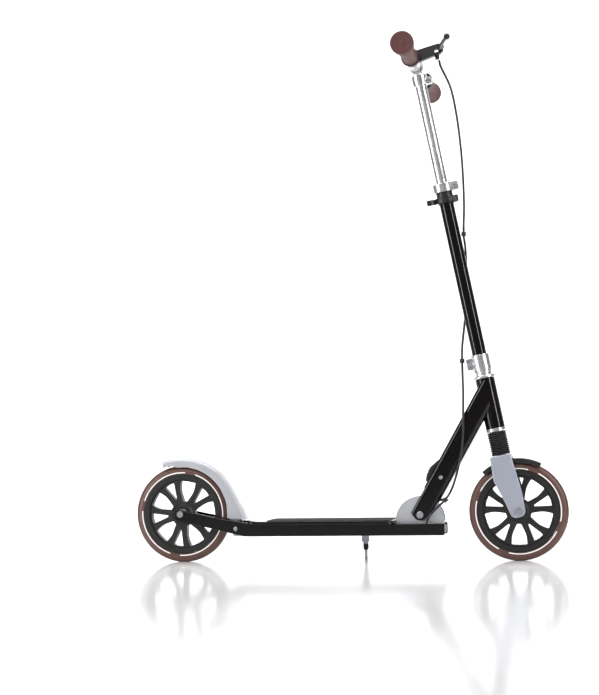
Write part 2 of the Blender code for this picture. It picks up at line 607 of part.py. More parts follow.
# ---------------------------------------------------------------- folding neck
def make_neck(body, look):
    """A rounded box tube from the fold pin to the head tube. Its lower end is two cheeks beside the bracket."""
    half = BRACE_DEPTH / 2
    high = 0.330
    outline = rectangle(BRACE_DEPTH, BRACE_WIDTH, 0.010)
    made = add("neck_brace", plate(outline, -0.016, high), look["black"], body, BRACE)
    hollow = rectangle(BRACE_DEPTH - 2 * BRACE_WALL, BRACE_WIDTH - 2 * BRACE_WALL, 0.010 - BRACE_WALL)
    cut(made, plate(hollow, -0.02, high + 0.01))
    slot = BRACE_WIDTH / 2 - BRACE_WALL
    cut(made, slab(disc(0, 0, BRACE_SLOT_RADIUS, 32), -slot, slot))
    below = rounded([(-half - 0.01, -0.03, 0), (half + 0.01, -0.03, 0), (half + 0.01, 0.0240, 0), (half, 0.0240, 0.006),
                     (0.0120, -0.0070, 0.010), (-0.0030, -0.0125, 0.008), (-0.0190, -0.0060, 0.006),
                     (-half, 0.0050, 0.004), (-half - 0.01, 0.0050, 0)], 3)
    cut(made, slab(below, -0.05, 0.05))
    cut(made, slab(disc(0, 0, PIN_RADIUS + GAP, 16), -0.05, 0.05))
    cut(made, slab(disc(0, LATCH_DISTANCE, 0.0030 + GAP, 12), -0.05, 0.05))
    cut(made, rod(HEAD_TUBE_RADIUS + GAP, 0.05, 0.5), STEER)
    cut(made, rod(HEAD_TUBE_RADIUS + 0.0015, 0.05, HEAD_TUBE_LOW - GAP / 2), STEER)
    cut(made, rod(HEAD_TUBE_RADIUS + 0.0038, HEAD_TUBE_HIGH, 0.5), STEER)
    ahead_of_axis = box((0, -0.05, 0.05), (0.2, 0.05, 0.5))
    cut(made, ahead_of_axis, STEER)
    window = rounded([(-0.04, BUTTON_LOW, 0), (-0.010, BUTTON_LOW, 0), (-0.010, BUTTON_HIGH, 0), (-0.04, BUTTON_HIGH, 0)])
    cut(made, slab(window, -BUTTON_HALF - GAP, BUTTON_HALF + GAP))

    width = BRACE_WIDTH / 2
    add("fold_bolt", bolt(None, PIN_RADIUS, PIN_HEAD, -width - GAP, width + GAP, 0.0050), look["steel"], body,
        Matrix.Translation(PIN) @ ACROSS)
    add("latch_guide_pin", bolt(None, 0.0030, 0.0040, -width - GAP, width + GAP, 0.0014), look["steel"], body,
        BRACE @ Matrix.Translation((0, 0, LATCH_DISTANCE)) @ ACROSS)

    wall = HEAD_TUBE_RADIUS - HEAD_TUBE_WALL
    add("head_tube", ring(HEAD_TUBE_RADIUS, wall, HEAD_TUBE_LOW, HEAD_TUBE_HIGH), look["black"], body, STEER)
    low = HEAD_TUBE_LOW - GAP
    add("head_tube_ring", ring(HEAD_TUBE_RADIUS + 0.0006, STEERER_RADIUS + 0.0012, low - HEAD_RING_HEIGHT, low),
        look["polished"], body, STEER)
    bore, cup = STEERER_RADIUS + RUN, 0.0085
    low, high = HEAD_TUBE_LOW + 0.0005, HEAD_TUBE_HIGH - 0.0005
    outline = [(wall - GAP, low), (wall - GAP, low + cup), (bore + 0.0015, low + cup + 0.001),
               (bore + 0.0015, high - cup - 0.001), (wall - GAP, high - cup), (wall - GAP, high), (bore, high), (bore, low)]
    add("headset_bearings", turned(outline), look["steel"], body, STEER)

    rear = -BRACE_DEPTH / 2
    middle = (BUTTON_LOW + BUTTON_HIGH) / 2
    bore = BRACE @ Matrix.Translation((rear, 0, middle)) @ Matrix.Rotation(math.pi / 2, 4, "Y")
    hood = rounded([(rear + 0.0010, BUTTON_LOW + GAP, 0), (rear - 0.0035, BUTTON_LOW + GAP, 0.002),
                    (rear - 0.0080, BUTTON_LOW + 0.014, 0.006), (rear - 0.0080, BUTTON_HIGH - 0.020, 0.008),
                    (rear - 0.0015, BUTTON_HIGH - GAP, 0.002), (rear + 0.0010, BUTTON_HIGH - GAP, 0)], 3)
    housing = add("latch_housing", slab(hood, -BUTTON_HALF, BUTTON_HALF), look["plastic"], body, BRACE)
    cut(housing, rod(0.0068 + RUN, -0.05, 0.05, 20), bore)
    join(housing, slab([(rear + 0.0005, BUTTON_LOW + GAP), (rear + 0.0060, BUTTON_LOW + GAP),
                        (rear + 0.0060, BUTTON_LOW + 0.006), (rear + 0.0005, BUTTON_LOW + 0.006)], -BUTTON_HALF,
                       BUTTON_HALF))

    clip_x, clip_y, clip_z = NECK_CLIP
    clip = add("neck_cable_clip", ring(CABLE_RADIUS + 0.0026, CABLE_RADIUS + 0.0008, -0.004, 0.004, 14), look["plastic"],
               body, Matrix.Translation((clip_x, clip_y, clip_z)) @ Matrix.Rotation(math.radians(45), 4, "Y"))
    foot_low = -0.0020
    join(clip, box((-0.0105, -0.0016, foot_low), (-CABLE_RADIUS - 0.0012, 0.0016, 0.0035)))
    join(clip, box((CABLE_RADIUS + 0.0012, -0.0012, -0.002), (0.0075, 0.0012, 0.002)))


def make_button(body, latch, look):
    half = BRACE_DEPTH / 2
    middle = (BUTTON_LOW + BUTTON_HIGH) / 2
    inward = BRACE @ Matrix.Translation((-half, 0, middle)) @ Matrix.Rotation(math.pi / 2, 4, "Y")
    cap = turned([(0, -0.0110), (0.0050, -0.0105), (0.0068, -0.0088), (0.0068, 0.0040), (0, 0.0040)], 20)
    add("fold_button", cap, look["steel"], body, inward)
    outline = rounded([(-0.0080, 0.0590, 0.002), (0.0080, 0.0590, 0.002), (0.0100, 0.0700, 0.0), (0.0100, 0.1050, 0.0),
                       (-0.0100, 0.1050, 0.0), (-0.0100, 0.0700, 0.0)], 2)
    bolt_half = BRACE_WIDTH / 2 - BRACE_WALL - 0.0060
    made = add("latch_bolt", slab(outline, -bolt_half, bolt_half), look["steel"], latch, BRACE)
    slot = rounded([(-0.0032, LATCH_DISTANCE - 0.0095, 0.003), (0.0032, LATCH_DISTANCE - 0.0095, 0.003),
                    (0.0032, LATCH_DISTANCE + 0.0040, 0.003), (-0.0032, LATCH_DISTANCE + 0.0040, 0.003)], 2)
    cut(made, slab(slot, -0.05, 0.05))


# ---------------------------------------------------------------- steering column
def make_column(body, look):
    add("steerer_tube", turned([(STEERER_RADIUS, STEERER_LOW), (STEERER_RADIUS, STEERER_HIGH),
                                (STEERER_RADIUS - STEERER_WALL, STEERER_HIGH),
                                (STEERER_RADIUS - STEERER_WALL, STEERER_LOW)]), look["steel"], body, STEER)
    low = HEAD_TUBE_HIGH + RUN
    inside = STEERER_RADIUS + GAP
    flange, waist, lip = HEAD_TUBE_RADIUS + 0.0032, HEAD_TUBE_RADIUS - 0.0035, HEAD_TUBE_RADIUS - 0.0020
    top = low + HEADSET_HEIGHT
    nut = [(inside, low), (HEAD_TUBE_RADIUS + 0.0005, low), (flange, low + 0.0015), (flange, low + 0.0045),
           (HEAD_TUBE_RADIUS, low + 0.0068), (waist, low + 0.0072), (waist, top - 0.0035), (lip, top - 0.0030),
           (lip, top), (inside, top)]
    add("headset_nut", turned(nut), look["polished"], body, STEER)

    clamp = add("column_clamp", ring(CLAMP_RADIUS, COLUMN_RADIUS + GAP, CLAMP_LOW + 0.0004, CLAMP_HIGH), look["polished"],
                body, STEER)
    join(clamp, box((-0.0300, -0.0085, CLAMP_LOW + 0.006), (0.004 - CLAMP_RADIUS, 0.0085, CLAMP_HIGH - 0.004)), STEER)
    cut(clamp, box((-0.05, -0.0010, CLAMP_LOW - 0.01), (-0.012, 0.0010, CLAMP_HIGH + 0.01)), STEER)
    cut(clamp, rod(COLUMN_RADIUS + GAP, CLAMP_LOW - 0.01, CLAMP_HIGH + 0.01), STEER)

    add("column_tube", ring(COLUMN_RADIUS, COLUMN_RADIUS - COLUMN_WALL, CLAMP_LOW + 0.0010, COLUMN_HIGH),
                 look["black"], body, STEER)
    collar = add("height_collar", ring(COLLAR_RADIUS, COLLAR_BORE + GAP, COLLAR_LOW, COLLAR_HIGH), look["polished"], body, STEER)
    join(collar, box((COLLAR_RADIUS - 0.004, -0.0100, COLLAR_LOW), (0.0330, 0.0100, COLLAR_HIGH)), STEER)
    cut(collar, box((0.012, -0.0010, COLLAR_LOW - 0.01), (0.05, 0.0010, COLLAR_HIGH + 0.01)), STEER)

    wide, slim = COLUMN_RADIUS + 0.0022, COLLAR_BORE - 0.0005
    bush = [(INNER_RADIUS + RUN, COLUMN_HIGH + GAP), (wide, COLUMN_HIGH + GAP), (wide, COLLAR_LOW - 0.0012),
            (slim, COLLAR_LOW - 0.0006), (slim, COLLAR_HIGH + 0.0012), (INNER_RADIUS + RUN, COLLAR_HIGH + 0.0012)]
    made = add("column_bush", turned(bush), look["plastic"], body, STEER)
    post_at = Matrix.Translation(LEVER_PIVOT)
    join(made, box((COLUMN_RADIUS - 0.0005, -LEVER_HALF + 0.0010, LEVER_LOW - 0.0020), (COLUMN_RADIUS + 0.0080, LEVER_HALF - 0.0050, LEVER_LOW - 0.0004)))
    join(made, rod(0.0022, LEVER_LOW - 0.0015, LEVER_HIGH + 0.0010, 12), STEER @ post_at)
    join(made, rod(0.0048, LEVER_LOW - 0.0018, LEVER_LOW - 0.0005, 16), STEER @ post_at)

    heights = (CLAMP_LOW + 0.0115, CLAMP_HIGH - 0.0095)
    x, reach = -0.0235, 0.0085
    pair = bolt(None, 0.0020, 0.0038, -reach - GAP, reach + GAP, 0.0030,
                move=Matrix.Translation((x, 0, heights[0])) @ ACROSS)
    pair = add("column_clamp_bolts", pair, look["steel"], body, STEER)
    join(pair, bolt(None, 0.0020, 0.0038, -reach - GAP, reach + GAP, 0.0030,
                    move=Matrix.Translation((x, 0, heights[1])) @ ACROSS))
    join(pair, box((x - 0.0030, reach + GAP, heights[0]), (x + 0.0030, reach + 0.0014, heights[1])))
    for height in heights:
        cut(clamp, slab(disc(x, height, 0.0020 + GAP, 12), -0.05, 0.05), STEER)
    x, reach, height = 0.0262, 0.0100, COLLAR_LOW + 0.0090
    single = bolt(None, 0.0020, 0.0038, -reach - GAP, reach + GAP, 0.0030,
                  move=Matrix.Translation((x, 0, height)) @ ACROSS)
    add("height_collar_bolt", single, look["steel"], body, STEER)
    cut(collar, slab(disc(x, height, 0.0020 + GAP, 12), -0.05, 0.05), STEER)

    for name, spot in (("column_cable_clip", UPPER_CLIP), ("clamp_cable_clip", LOWER_CLIP)):
        local = STEER.inverted() @ Vector(spot)
        upright = Matrix.Translation(local) @ Matrix.Rotation(HEAD_ANGLE, 4, "Y")
        clip = ring(CABLE_RADIUS + 0.0025, CABLE_RADIUS + 0.0008, -0.0045, 0.0045, 14, move=upright)
        add(name, clip, look["plastic"], body, STEER)


def make_height_lever(body, look):
    """A curved lever that lies round the column's right side from its pivot in front to a thumb tip behind."""
    inner, outer = COLUMN_RADIUS + 0.0032, COLUMN_RADIUS + 0.0072
    path = arc(1.0, math.radians(-42), math.radians(-158), 9)
    inside = [(inner * x, inner * y) for x, y in path]
    outside = [(outer * x, outer * y) for x, y in path]
    tip = [(-0.0390, -0.0120), (-0.0395, -0.0160), (-0.0300, -0.0150)]
    root = [(LEVER_PIVOT[0] + 0.0042, LEVER_PIVOT[1] - 0.0030), (LEVER_PIVOT[0] + 0.0048, LEVER_PIVOT[1] + 0.0020),
            (LEVER_PIVOT[0] + 0.0020, LEVER_PIVOT[1] + 0.0046), (LEVER_PIVOT[0] - 0.0030, LEVER_PIVOT[1] + 0.0044)]
    outline = inside + tip + list(reversed(outside)) + root
    made = add("height_lever", plate(outline, LEVER_LOW, LEVER_HIGH), look["plastic"], body, STEER)
    cut(made, rod(0.0022 + RUN, LEVER_LOW - 0.01, LEVER_HIGH + 0.01, 12), STEER @ Matrix.Translation(LEVER_PIVOT))


# ---------------------------------------------------------------- fork
def make_fork(body, look):
    leg = rounded([(-0.0226, CROWN_HIGH, 0.002), (-0.0253, 0.0705, 0.010), (-0.0149, 0.0364, 0.02),
                   (FORK_RAKE - FORK_END_RADIUS - 0.0005, -FORK_END_RADIUS * 0.9, 0.0115),
                   (FORK_RAKE + FORK_END_RADIUS + 0.0015, -FORK_END_RADIUS * 0.9, 0.0125), (0.0267, 0.0438, 0.03),
                   (0.0204, CROWN_HIGH, 0.002)], 4)
    made = add("fork", slab(leg, -FORK_OUTSIDE, FORK_OUTSIDE), look["satin"], body, STEER)
    bevel(made, 0.0015, 2)
    inside = FORK_OUTSIDE - FORK_LEG
    between = rounded([(-inside, -0.1, 0), (inside, -0.1, 0), (inside, CROWN_LOW, 0.008), (-inside, CROWN_LOW, 0.008)], 3)
    cut(made, slab(between, -0.1, 0.1), STEER @ Matrix.Rotation(math.pi / 2, 4, "Z"))
    cut(made, slab(disc(FORK_RAKE, 0, AXLE_RADIUS + GAP, 16), -0.1, 0.1))
    cut(made, rod(POST_RADIUS + GAP, CROWN_LOW - 0.02, CROWN_HIGH + 0.01, 20))

    add("suspension_post", rod(POST_RADIUS, CROWN_LOW + 0.0010, HEAD_TUBE_LOW + 0.0735), look["steel"], body, STEER)

    low, high = CROWN_HIGH + 0.0006, HEAD_TUBE_LOW - HEAD_RING_HEIGHT - 0.0014
    pitch = (high - low) / BELLOWS_RIBS
    ribs = []
    for rib in range(BELLOWS_RIBS):
        start = low + pitch * rib
        ribs += [(BELLOWS_RADIUS - 0.0028, start), (BELLOWS_RADIUS, start + pitch / 2)]
    ribs.append((BELLOWS_RADIUS - 0.0028, high))
    inner = BELLOWS_RADIUS - 0.0045
    add("fork_bellows", turned(ribs + [(inner, high), (inner, low)], 16), look["rubber"], body, STEER)

    wire = 0.0014
    radius = (inner + POST_RADIUS) / 2
    first, last = low + wire, STEERER_LOW - 0.0010 - wire
    steps = SPRING_TURNS * 10
    helix = []
    for number in range(steps + 1):
        angle = 2 * math.pi * number / 10
        local = Vector((radius * math.cos(angle), radius * math.sin(angle), first + (last - first) * number / steps))
        helix.append(STEER @ local)
    pipe("fork_spring", helix, wire, look["steel"], body, 0.0075, 1)

    top = FRONT_FENDER_RADIUS
    up = math.radians(90)
    start, end, spare = up - FRONT_FENDER_AHEAD, up + FRONT_FENDER_BEHIND, 0.05
    shell = arc(top, start, end, 14) + arc(FRONT_FENDER_SKIRT, end, start, 14)
    inside_arch = top - FRONT_FENDER_WALL
    room = arc(inside_arch, start - spare, end + spare, 16) + arc(0.09, end + spare, start - spare, 16)
    half = FRONT_FENDER_WIDTH / 2
    hub = Matrix.Translation(FRONT_AXLE)
    fender = add("front_fender", slab(shell, -half, half), look["plastic"], body, hub)
    cut(fender, slab(room, -half + 0.0018, half - 0.0018))

    axle("front_axle", body, FRONT_AXLE, inside, FORK_OUTSIDE, look)


# ---------------------------------------------------------------- handlebar
def make_handlebar(body, look):
    wall = INNER_RADIUS - INNER_WALL
    tube_high = HANDLEBAR_AT - T_RADIUS - GAP
    tube = add("inner_tube", ring(INNER_RADIUS, wall, INNER_LOW, tube_high), look["polished"], body, STEER)
    pop = Matrix.Translation((-INNER_RADIUS, 0, 0.9005)) @ Matrix.Rotation(math.pi / 2, 4, "Y")
    join(tube, turned([(0, -0.0022), (0.0026, -0.0012), (0.0030, 0.0010), (0, 0.0010)], 12), STEER @ pop)

    socket_low = HANDLEBAR_AT - 0.036
    at_bar = STEER @ Matrix.Translation((0, 0, HANDLEBAR_AT)) @ ACROSS
    ceiling = tube_high + GAP
    outer, bore = INNER_RADIUS + 0.0038, INNER_RADIUS + GAP
    socket = [(bore, socket_low), (outer, socket_low), (outer, ceiling + 0.0018), (0, ceiling + 0.0018), (0, ceiling),
              (bore, ceiling)]
    made = add("t_clamp", ring(T_RADIUS, BAR_RADIUS + GAP, -0.030, 0.030), look["polished"], body, at_bar)
    join(made, turned(socket), STEER)
    join(made, box((outer - 0.0018, -0.0070, socket_low + 0.0005), (0.0250, 0.0070, socket_low + 0.0140)), STEER)
    pinch = Matrix.Translation((0.0195, 0, socket_low + 0.007)) @ ACROSS
    add("t_clamp_bolt", bolt(None, 0.0020, 0.0036, -0.0070 - GAP, 0.0070 + GAP, 0.0028, move=pinch), look["steel"], body,
        STEER)
    cut(made, slab(disc(0.0195, socket_low + 0.007, 0.0020 + GAP, 12), -0.05, 0.05), STEER)

    half = HANDLEBAR_LENGTH / 2
    add("handlebar_tube", ring(BAR_RADIUS, BAR_RADIUS - 0.0015, -half + 0.004, half - 0.004), look["polished"], body, at_bar)
    for side, way in (("right", -1), ("left", 1)):
        start = half - GRIP_LENGTH
        bore = BAR_RADIUS + GAP
        outline = [(bore, start - GRIP_RING_WIDTH), (GRIP_RING_RADIUS, start - GRIP_RING_WIDTH), (GRIP_RING_RADIUS, start),
                   (GRIP_WAIST + 0.0008, start), (GRIP_WAIST, start + 0.012), (GRIP_WAIST + 0.0004, start + 0.055),
                   (GRIP_WAIST + 0.0022, start + 0.085), (GRIP_WAIST + 0.0052, start + 0.112),
                   (GRIP_FLARE, start + GRIP_LENGTH - 0.010), (GRIP_FLARE - 0.0008, start + GRIP_LENGTH - 0.004),
                   (GRIP_FLARE - 0.0050, start + GRIP_LENGTH - 0.0005), (0, start + GRIP_LENGTH),
                   (0, start + GRIP_LENGTH - 0.0036), (bore, start + GRIP_LENGTH - 0.0036)]
        grip = turned(outline)
        bmesh.ops.scale(grip, verts=grip.verts, vec=(1, 1, way))
        add(f"{side}_grip", grip, look["grip"], body, at_bar)
    perch = add("brake_perch", ring(0.0155, BAR_RADIUS + GAP, -0.0100, 0.0100), look["plastic"], body, PERCH)
    arm = rounded([(0.0060, -0.0120, 0.004), (0.0600, -0.0075, 0.004), (0.0700, -0.0020, 0.004), (0.0720, 0.0080, 0.004),
                   (0.0620, 0.0130, 0.004), (0.0080, 0.0125, 0.004)], 3)
    flat = PERCH @ ACROSS.inverted()
    join(perch, slab(arm, -0.0085, 0.0060), flat)
    cut(perch, rod(BAR_RADIUS + GAP, -0.05, 0.05), PERCH)
    cut(perch, slab([(0.0480, -0.0065), (0.0820, -0.0065), (0.0820, 0.0065), (0.0480, 0.0065)], -0.02, 0.02,
                    move=Matrix.Translation((0, 0, 0.0027))), flat)
    join(perch, rod(0.0024, -0.0050, 0.0120, 12), flat @ Matrix.Translation((LEVER_X, 0, 0)))
    barrel = Matrix.Translation((0.0540, 0.0020, 0)) @ Matrix.Rotation(math.radians(10), 4, "Y")
    join(perch, rod(0.0045, -0.0165, -0.0060, 14), flat @ barrel)


def make_brake_lever(body, look):
    """A two-finger blade that runs outboard from its pivot and ends in a ball."""
    flat = PERCH @ ACROSS.inverted()
    edge = [(-0.0055, 0.0020), (-0.0040, -0.0150), (0.0020, -0.0400), (0.0080, -0.0640), (0.0165, -0.0860),
            (0.0235, -0.0860), (0.0150, -0.0640), (0.0090, -0.0400), (0.0070, -0.0120), (0.0060, 0.0020), (0, 0.0060)]
    blade = plate([(LEVER_X + x, y) for x, y in edge], -0.0025, 0.0025)
    made = add("brake_lever", blade, look["plastic"], body, flat)
    join(made, turned([(0, -0.0065), (0.0042, -0.0050), (0.0065, 0), (0.0042, 0.0050), (0, 0.0065)], 16),
         flat @ Matrix.Translation((LEVER_X + 0.0225, -0.0900, 0.0015)))
    cut(made, rod(0.0024 + RUN, -0.02, 0.02, 12), flat @ Matrix.Translation((LEVER_X, 0, 0)))


def main():
    remove_everything()
    look = make_materials()
    root = pivot("deck_frame", WORLD)
    rear_spin = pivot("rear_wheel_axis", Matrix.Translation(REAR_AXLE))
    fender = pivot("rear_fender_axis", Matrix.Translation((FENDER_PIVOT[0], 0, FENDER_PIVOT[1])))
    kick = pivot("kickstand_axis", Matrix.Translation(KICK_PIVOT))
    fold = pivot("neck_fold_axis", Matrix.Translation(PIN))
    press = pivot("fold_button_axis", BRACE)
    steer = pivot("steering_axis", STEER)
    fork = pivot("fork_slide_axis", STEER)
    spin = pivot("front_wheel_axis", Matrix.Translation(FRONT_AXLE))
    height = pivot("handlebar_slide_axis", STEER)
    lever = pivot("height_lever_axis", STEER @ Matrix.Translation(LEVER_PIVOT))
    brake = pivot("brake_lever_axis", PERCH @ ACROSS.inverted() @ Matrix.Translation((LEVER_X, 0, 0)))

    make_deck(root, look)
    make_fold_bracket(root, look)
    make_fender_hinge(root, fender, look)
    make_rear_fender(fender, look)
    make_kickstand(root, kick, look)
    wheel("rear", rear_spin, REAR_AXLE, REAR_WINDOW_TURN, look)
    make_neck(fold, look)
    make_button(press, press, look)
    make_column(steer, look)
    make_height_lever(lever, look)
    make_fork(fork, look)
    wheel("front", spin, FRONT_AXLE, FRONT_WINDOW_TURN, look)
    make_handlebar(height, look)
    make_brake_lever(brake, look)
    spacing = 6 * CABLE_RADIUS
    pipe("brake_cable_upper", CABLE_UPPER, CABLE_RADIUS, look["rubber"], height, spacing)
    pipe("brake_cable_column", CABLE_COLUMN, CABLE_RADIUS, look["rubber"], steer, spacing)
    pipe("brake_cable_neck", CABLE_NECK, CABLE_RADIUS, look["rubber"], fold, spacing)
    pipe("brake_cable_deck", CABLE_DECK, CABLE_RADIUS, look["rubber"], root, spacing)


main()
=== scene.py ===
"""The looks of a folding kick scooter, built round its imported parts. Metres, +Z up, +X forward."""
import json
import math

import bmesh
import bpy
from bpy.props import FloatProperty, FloatVectorProperty, IntProperty, PointerProperty
from mathutils import Matrix, Vector


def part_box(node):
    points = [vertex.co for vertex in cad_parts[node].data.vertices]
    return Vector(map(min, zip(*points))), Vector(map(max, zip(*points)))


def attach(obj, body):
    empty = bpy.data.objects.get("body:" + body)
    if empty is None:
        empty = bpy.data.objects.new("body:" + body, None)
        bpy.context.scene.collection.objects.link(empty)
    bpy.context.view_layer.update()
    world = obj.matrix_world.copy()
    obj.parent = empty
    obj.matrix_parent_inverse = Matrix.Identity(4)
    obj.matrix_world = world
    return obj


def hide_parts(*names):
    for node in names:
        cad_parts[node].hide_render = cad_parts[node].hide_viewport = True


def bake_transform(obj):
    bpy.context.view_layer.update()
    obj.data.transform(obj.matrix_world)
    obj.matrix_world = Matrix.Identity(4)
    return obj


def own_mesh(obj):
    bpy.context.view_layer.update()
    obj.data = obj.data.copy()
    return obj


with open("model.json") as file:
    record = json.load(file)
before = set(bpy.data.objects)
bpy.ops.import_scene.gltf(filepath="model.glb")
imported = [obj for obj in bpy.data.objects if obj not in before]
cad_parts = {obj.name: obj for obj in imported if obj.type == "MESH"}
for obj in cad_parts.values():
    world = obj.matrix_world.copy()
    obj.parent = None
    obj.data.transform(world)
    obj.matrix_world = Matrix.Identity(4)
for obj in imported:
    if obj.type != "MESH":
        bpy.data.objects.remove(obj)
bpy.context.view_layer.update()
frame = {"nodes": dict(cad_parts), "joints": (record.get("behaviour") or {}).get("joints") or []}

bl_info = {
    "name": "Kick scooter",
    "version": (1, 0, 0),
    "blender": (4, 5, 0),
    "location": "3D View > Sidebar > Scooter",
    "description": "Builds the finished pieces of a folding kick scooter round its frame",
    "category": "Add Mesh",
}

JOINTS = {joint["name"]: joint for joint in frame["joints"]}
PIECES = []                         # every finished piece, by name


# ---------------------------------------------------------------- places, read from the frame
def leaning(origin, up):
    """A frame at origin with its Z along up, which leans only fore and aft, and its Y to the left."""
    ahead = Vector((up[2], 0, -up[0]))
    turn = Matrix((ahead, (0, 1, 0), up)).transposed().to_4x4()
    return Matrix.Translation(origin) @ turn


ACROSS = Matrix.Rotation(math.radians(-90), 4, "X")    # a turned piece's Z along +Y
WORLD = Matrix.Identity(4)
UP = Vector((0, 0, 1))
FRONT_AXLE = Vector(JOINTS["front_wheel_spin"]["pos_m"])
REAR_AXLE = Vector(JOINTS["rear_wheel_spin"]["pos_m"])
STEER = leaning(JOINTS["steering"]["pos_m"], JOINTS["steering"]["axis"])
HEAD_ANGLE = math.atan2(-JOINTS["steering"]["axis"][0], JOINTS["steering"]["axis"][2])
PIN = Vector(JOINTS["neck_fold"]["pos_m"])
BRACE = leaning(PIN, JOINTS["latch_slide"]["axis"])
FENDER_PIVOT = Vector(JOINTS["rear_brake"]["pos_m"])
KICK_PIVOT = Vector(JOINTS["kickstand_swing"]["pos_m"])
LEVER_REACH = 0.0625                # brake lever's pivot ahead of the bar
HANDLEBAR_AT = 0.949                # up the steering axis
HEAD_TUBE_LOW = 0.1765              # up the steering axis
HEAD_TUBE_HIGH = 0.2815
HEAD_RING_HEIGHT = 0.006
BAR_HALF = 0.268                    # handlebar's half length, grips included
AT_BAR = STEER @ Matrix.Translation((0, 0, HANDLEBAR_AT)) @ ACROSS
HEIGHT_PIVOT = STEER.inverted() @ Vector(JOINTS["height_lever_swing"]["pos_m"])

TYRE_RADIUS = (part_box("front_tyre")[1].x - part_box("front_tyre")[0].x) / 2 + 0.0003
TYRE_WIDTH = 0.030
RIM_RADIUS = 0.0845
WINDOW_RADIUS = 0.0688
HUB_WIDTH = 0.028
RAIL_OUTSIDE = 0.033
RAIL_WALL = 0.005
RAIL_BOTTOM = 0.0545
RAIL_TOP = 0.0790
FORK_OUTSIDE = 0.032
FORK_LEG = 0.008
BAR_RADIUS = 0.0111
COLUMN_RADIUS = 0.0150
INNER_RADIUS = 0.0120
BRACE_DEPTH = 0.043
BRACE_WIDTH = 0.046
CABLE_RADIUS = 0.0025
GAP = 0.0003


# ---------------------------------------------------------------- what a user may change
class ScooterColours(bpy.types.PropertyGroup):
    """The finishes' colours, linear, worked out from their sRGB values."""


class ScooterSizes(bpy.types.PropertyGroup):
    """The sizes of the fine shapes."""

    segments: IntProperty(name="Round Segments", description="Facets of a large round piece", default=96,
                          min=16)
    edge: FloatProperty(name="Edge Radius", description="Radius on the edges of cast and cut metal",
                        default=0.0012, unit="LENGTH")
    stripe_radius: FloatProperty(name="Stripe Radius", description="Middle of the printed ring on the tyre",
                                 default=0.0877, unit="LENGTH")
    stripe_width: FloatProperty(name="Stripe Width", description="Width of the printed ring",
                                default=0.0023, unit="LENGTH")
    bellows_ribs: IntProperty(name="Bellows Ribs", description="Folds of the fork's rubber bellows",
                              default=11)
    floor_size: FloatProperty(name="Floor Size", description="Side of the studio floor", default=16.0,
                              unit="LENGTH")


HEX_COLOURS = {
    "black_enamel": ("Black Enamel", "#080505"),
    "black_plastic": ("Black Plastic", "#0c0b0b"),
    "urethane": ("Tyre Brown", "#54372f"),
    "print": ("Tyre Print", "#eceaea"),
    "grip": ("Grip Brown", "#4f2824"),
    "silver_paint": ("Silver Paint", "#a6a9b6"),
    "pressed_silver": ("Pressed Silver", "#b4b6bb"),
    "aluminium": ("Polished Aluminium", "#dedcde"),
    "zinc": ("Zinc Plate", "#c4c6cb"),
    "rubber": ("Black Rubber", "#161617"),
    "tape": ("Grip Tape", "#1b1b1c"),
    "studio": ("Studio Floor", "#f4f4f5"),
}


def linear(hex_colour):
    """An sRGB hex colour as linear red, green and blue."""
    shares = [int(hex_colour[n:n + 2], 16) / 255 for n in (1, 3, 5)]
    return tuple(s / 12.92 if s <= 0.04045 else ((s + 0.055) / 1.055) ** 2.4 for s in shares)


for key, (label, value) in HEX_COLOURS.items():
    ScooterColours.__annotations__[key] = FloatVectorProperty(
        name=label, description=f"Colour of the {label.lower()}", subtype="COLOR", min=0, max=1,
        default=linear(value))


def colour(key):
    return (*getattr(bpy.context.scene.scooter_colours, key), 1)


# ---------------------------------------------------------------- outlines
def soft(points, radius, steps=4, closed=True):
    """The outline with its corners rounded, by less where a side is short. Points on the axis stay."""
    result = []
    last = len(points) - 1
    for number, (x, z) in enumerate(points):
        here = Vector((x, z))
        before = Vector(points[number - 1]) - here
        after = Vector(points[(number + 1) % len(points)]) - here
        end_point = not closed and number in (0, last)
        if x == 0 or end_point or before.angle(after, 0) > math.radians(168):
            result.append((x, z))
            continue
        reach = min(radius / math.tan(before.angle(after) / 2), before.length * 0.46, after.length * 0.46)
        start = here + before.normalized() * reach
        end = here + after.normalized() * reach
        for step in range(steps + 1):
            t = step / steps
            spot = start * (1 - t) ** 2 + here * 2 * t * (1 - t) + end * t * t
            result.append((spot.x, spot.y))
    return result


def rounded(corners, steps=8):
    """The outline through corners of (x, z, radius), each rounded by its radius."""
    result = []
    for number, (x, z, radius) in enumerate(corners):
        here = Vector((x, z))
        before = Vector(corners[number - 1][:2]) - here
        after = Vector(corners[(number + 1) % len(corners)][:2]) - here
        if radius == 0:
            result.append((x, z))
            continue
        half = before.angle(after) / 2
        centre = here + (before.normalized() + after.normalized()).normalized() * radius / math.sin(half)
        start = here + before.normalized() * radius / math.tan(half) - centre
        end = here + after.normalized() * radius / math.tan(half) - centre
        sweep = math.atan2(start.x * end.y - start.y * end.x, start.dot(end))
        for step in range(steps + 1):
            spot = centre + Matrix.Rotation(sweep * step / steps, 2) @ start
            result.append((spot.x, spot.y))
    return result


def disc(x, z, radius, segments=48):
    step = 2 * math.pi / segments
    return [(x + radius * math.cos(step * n), z + radius * math.sin(step * n)) for n in range(segments)]


def rectangle(width, height, radius):
    half, tall = width / 2, height / 2
    return rounded([(-half, -tall, radius), (half, -tall, radius), (half, tall, radius),
                    (-half, tall, radius)])


def arc(radius, start, end, steps):
    return [(radius * math.cos(start + (end - start) * n / steps),
             radius * math.sin(start + (end - start) * n / steps))
            for n in range(steps + 1)]


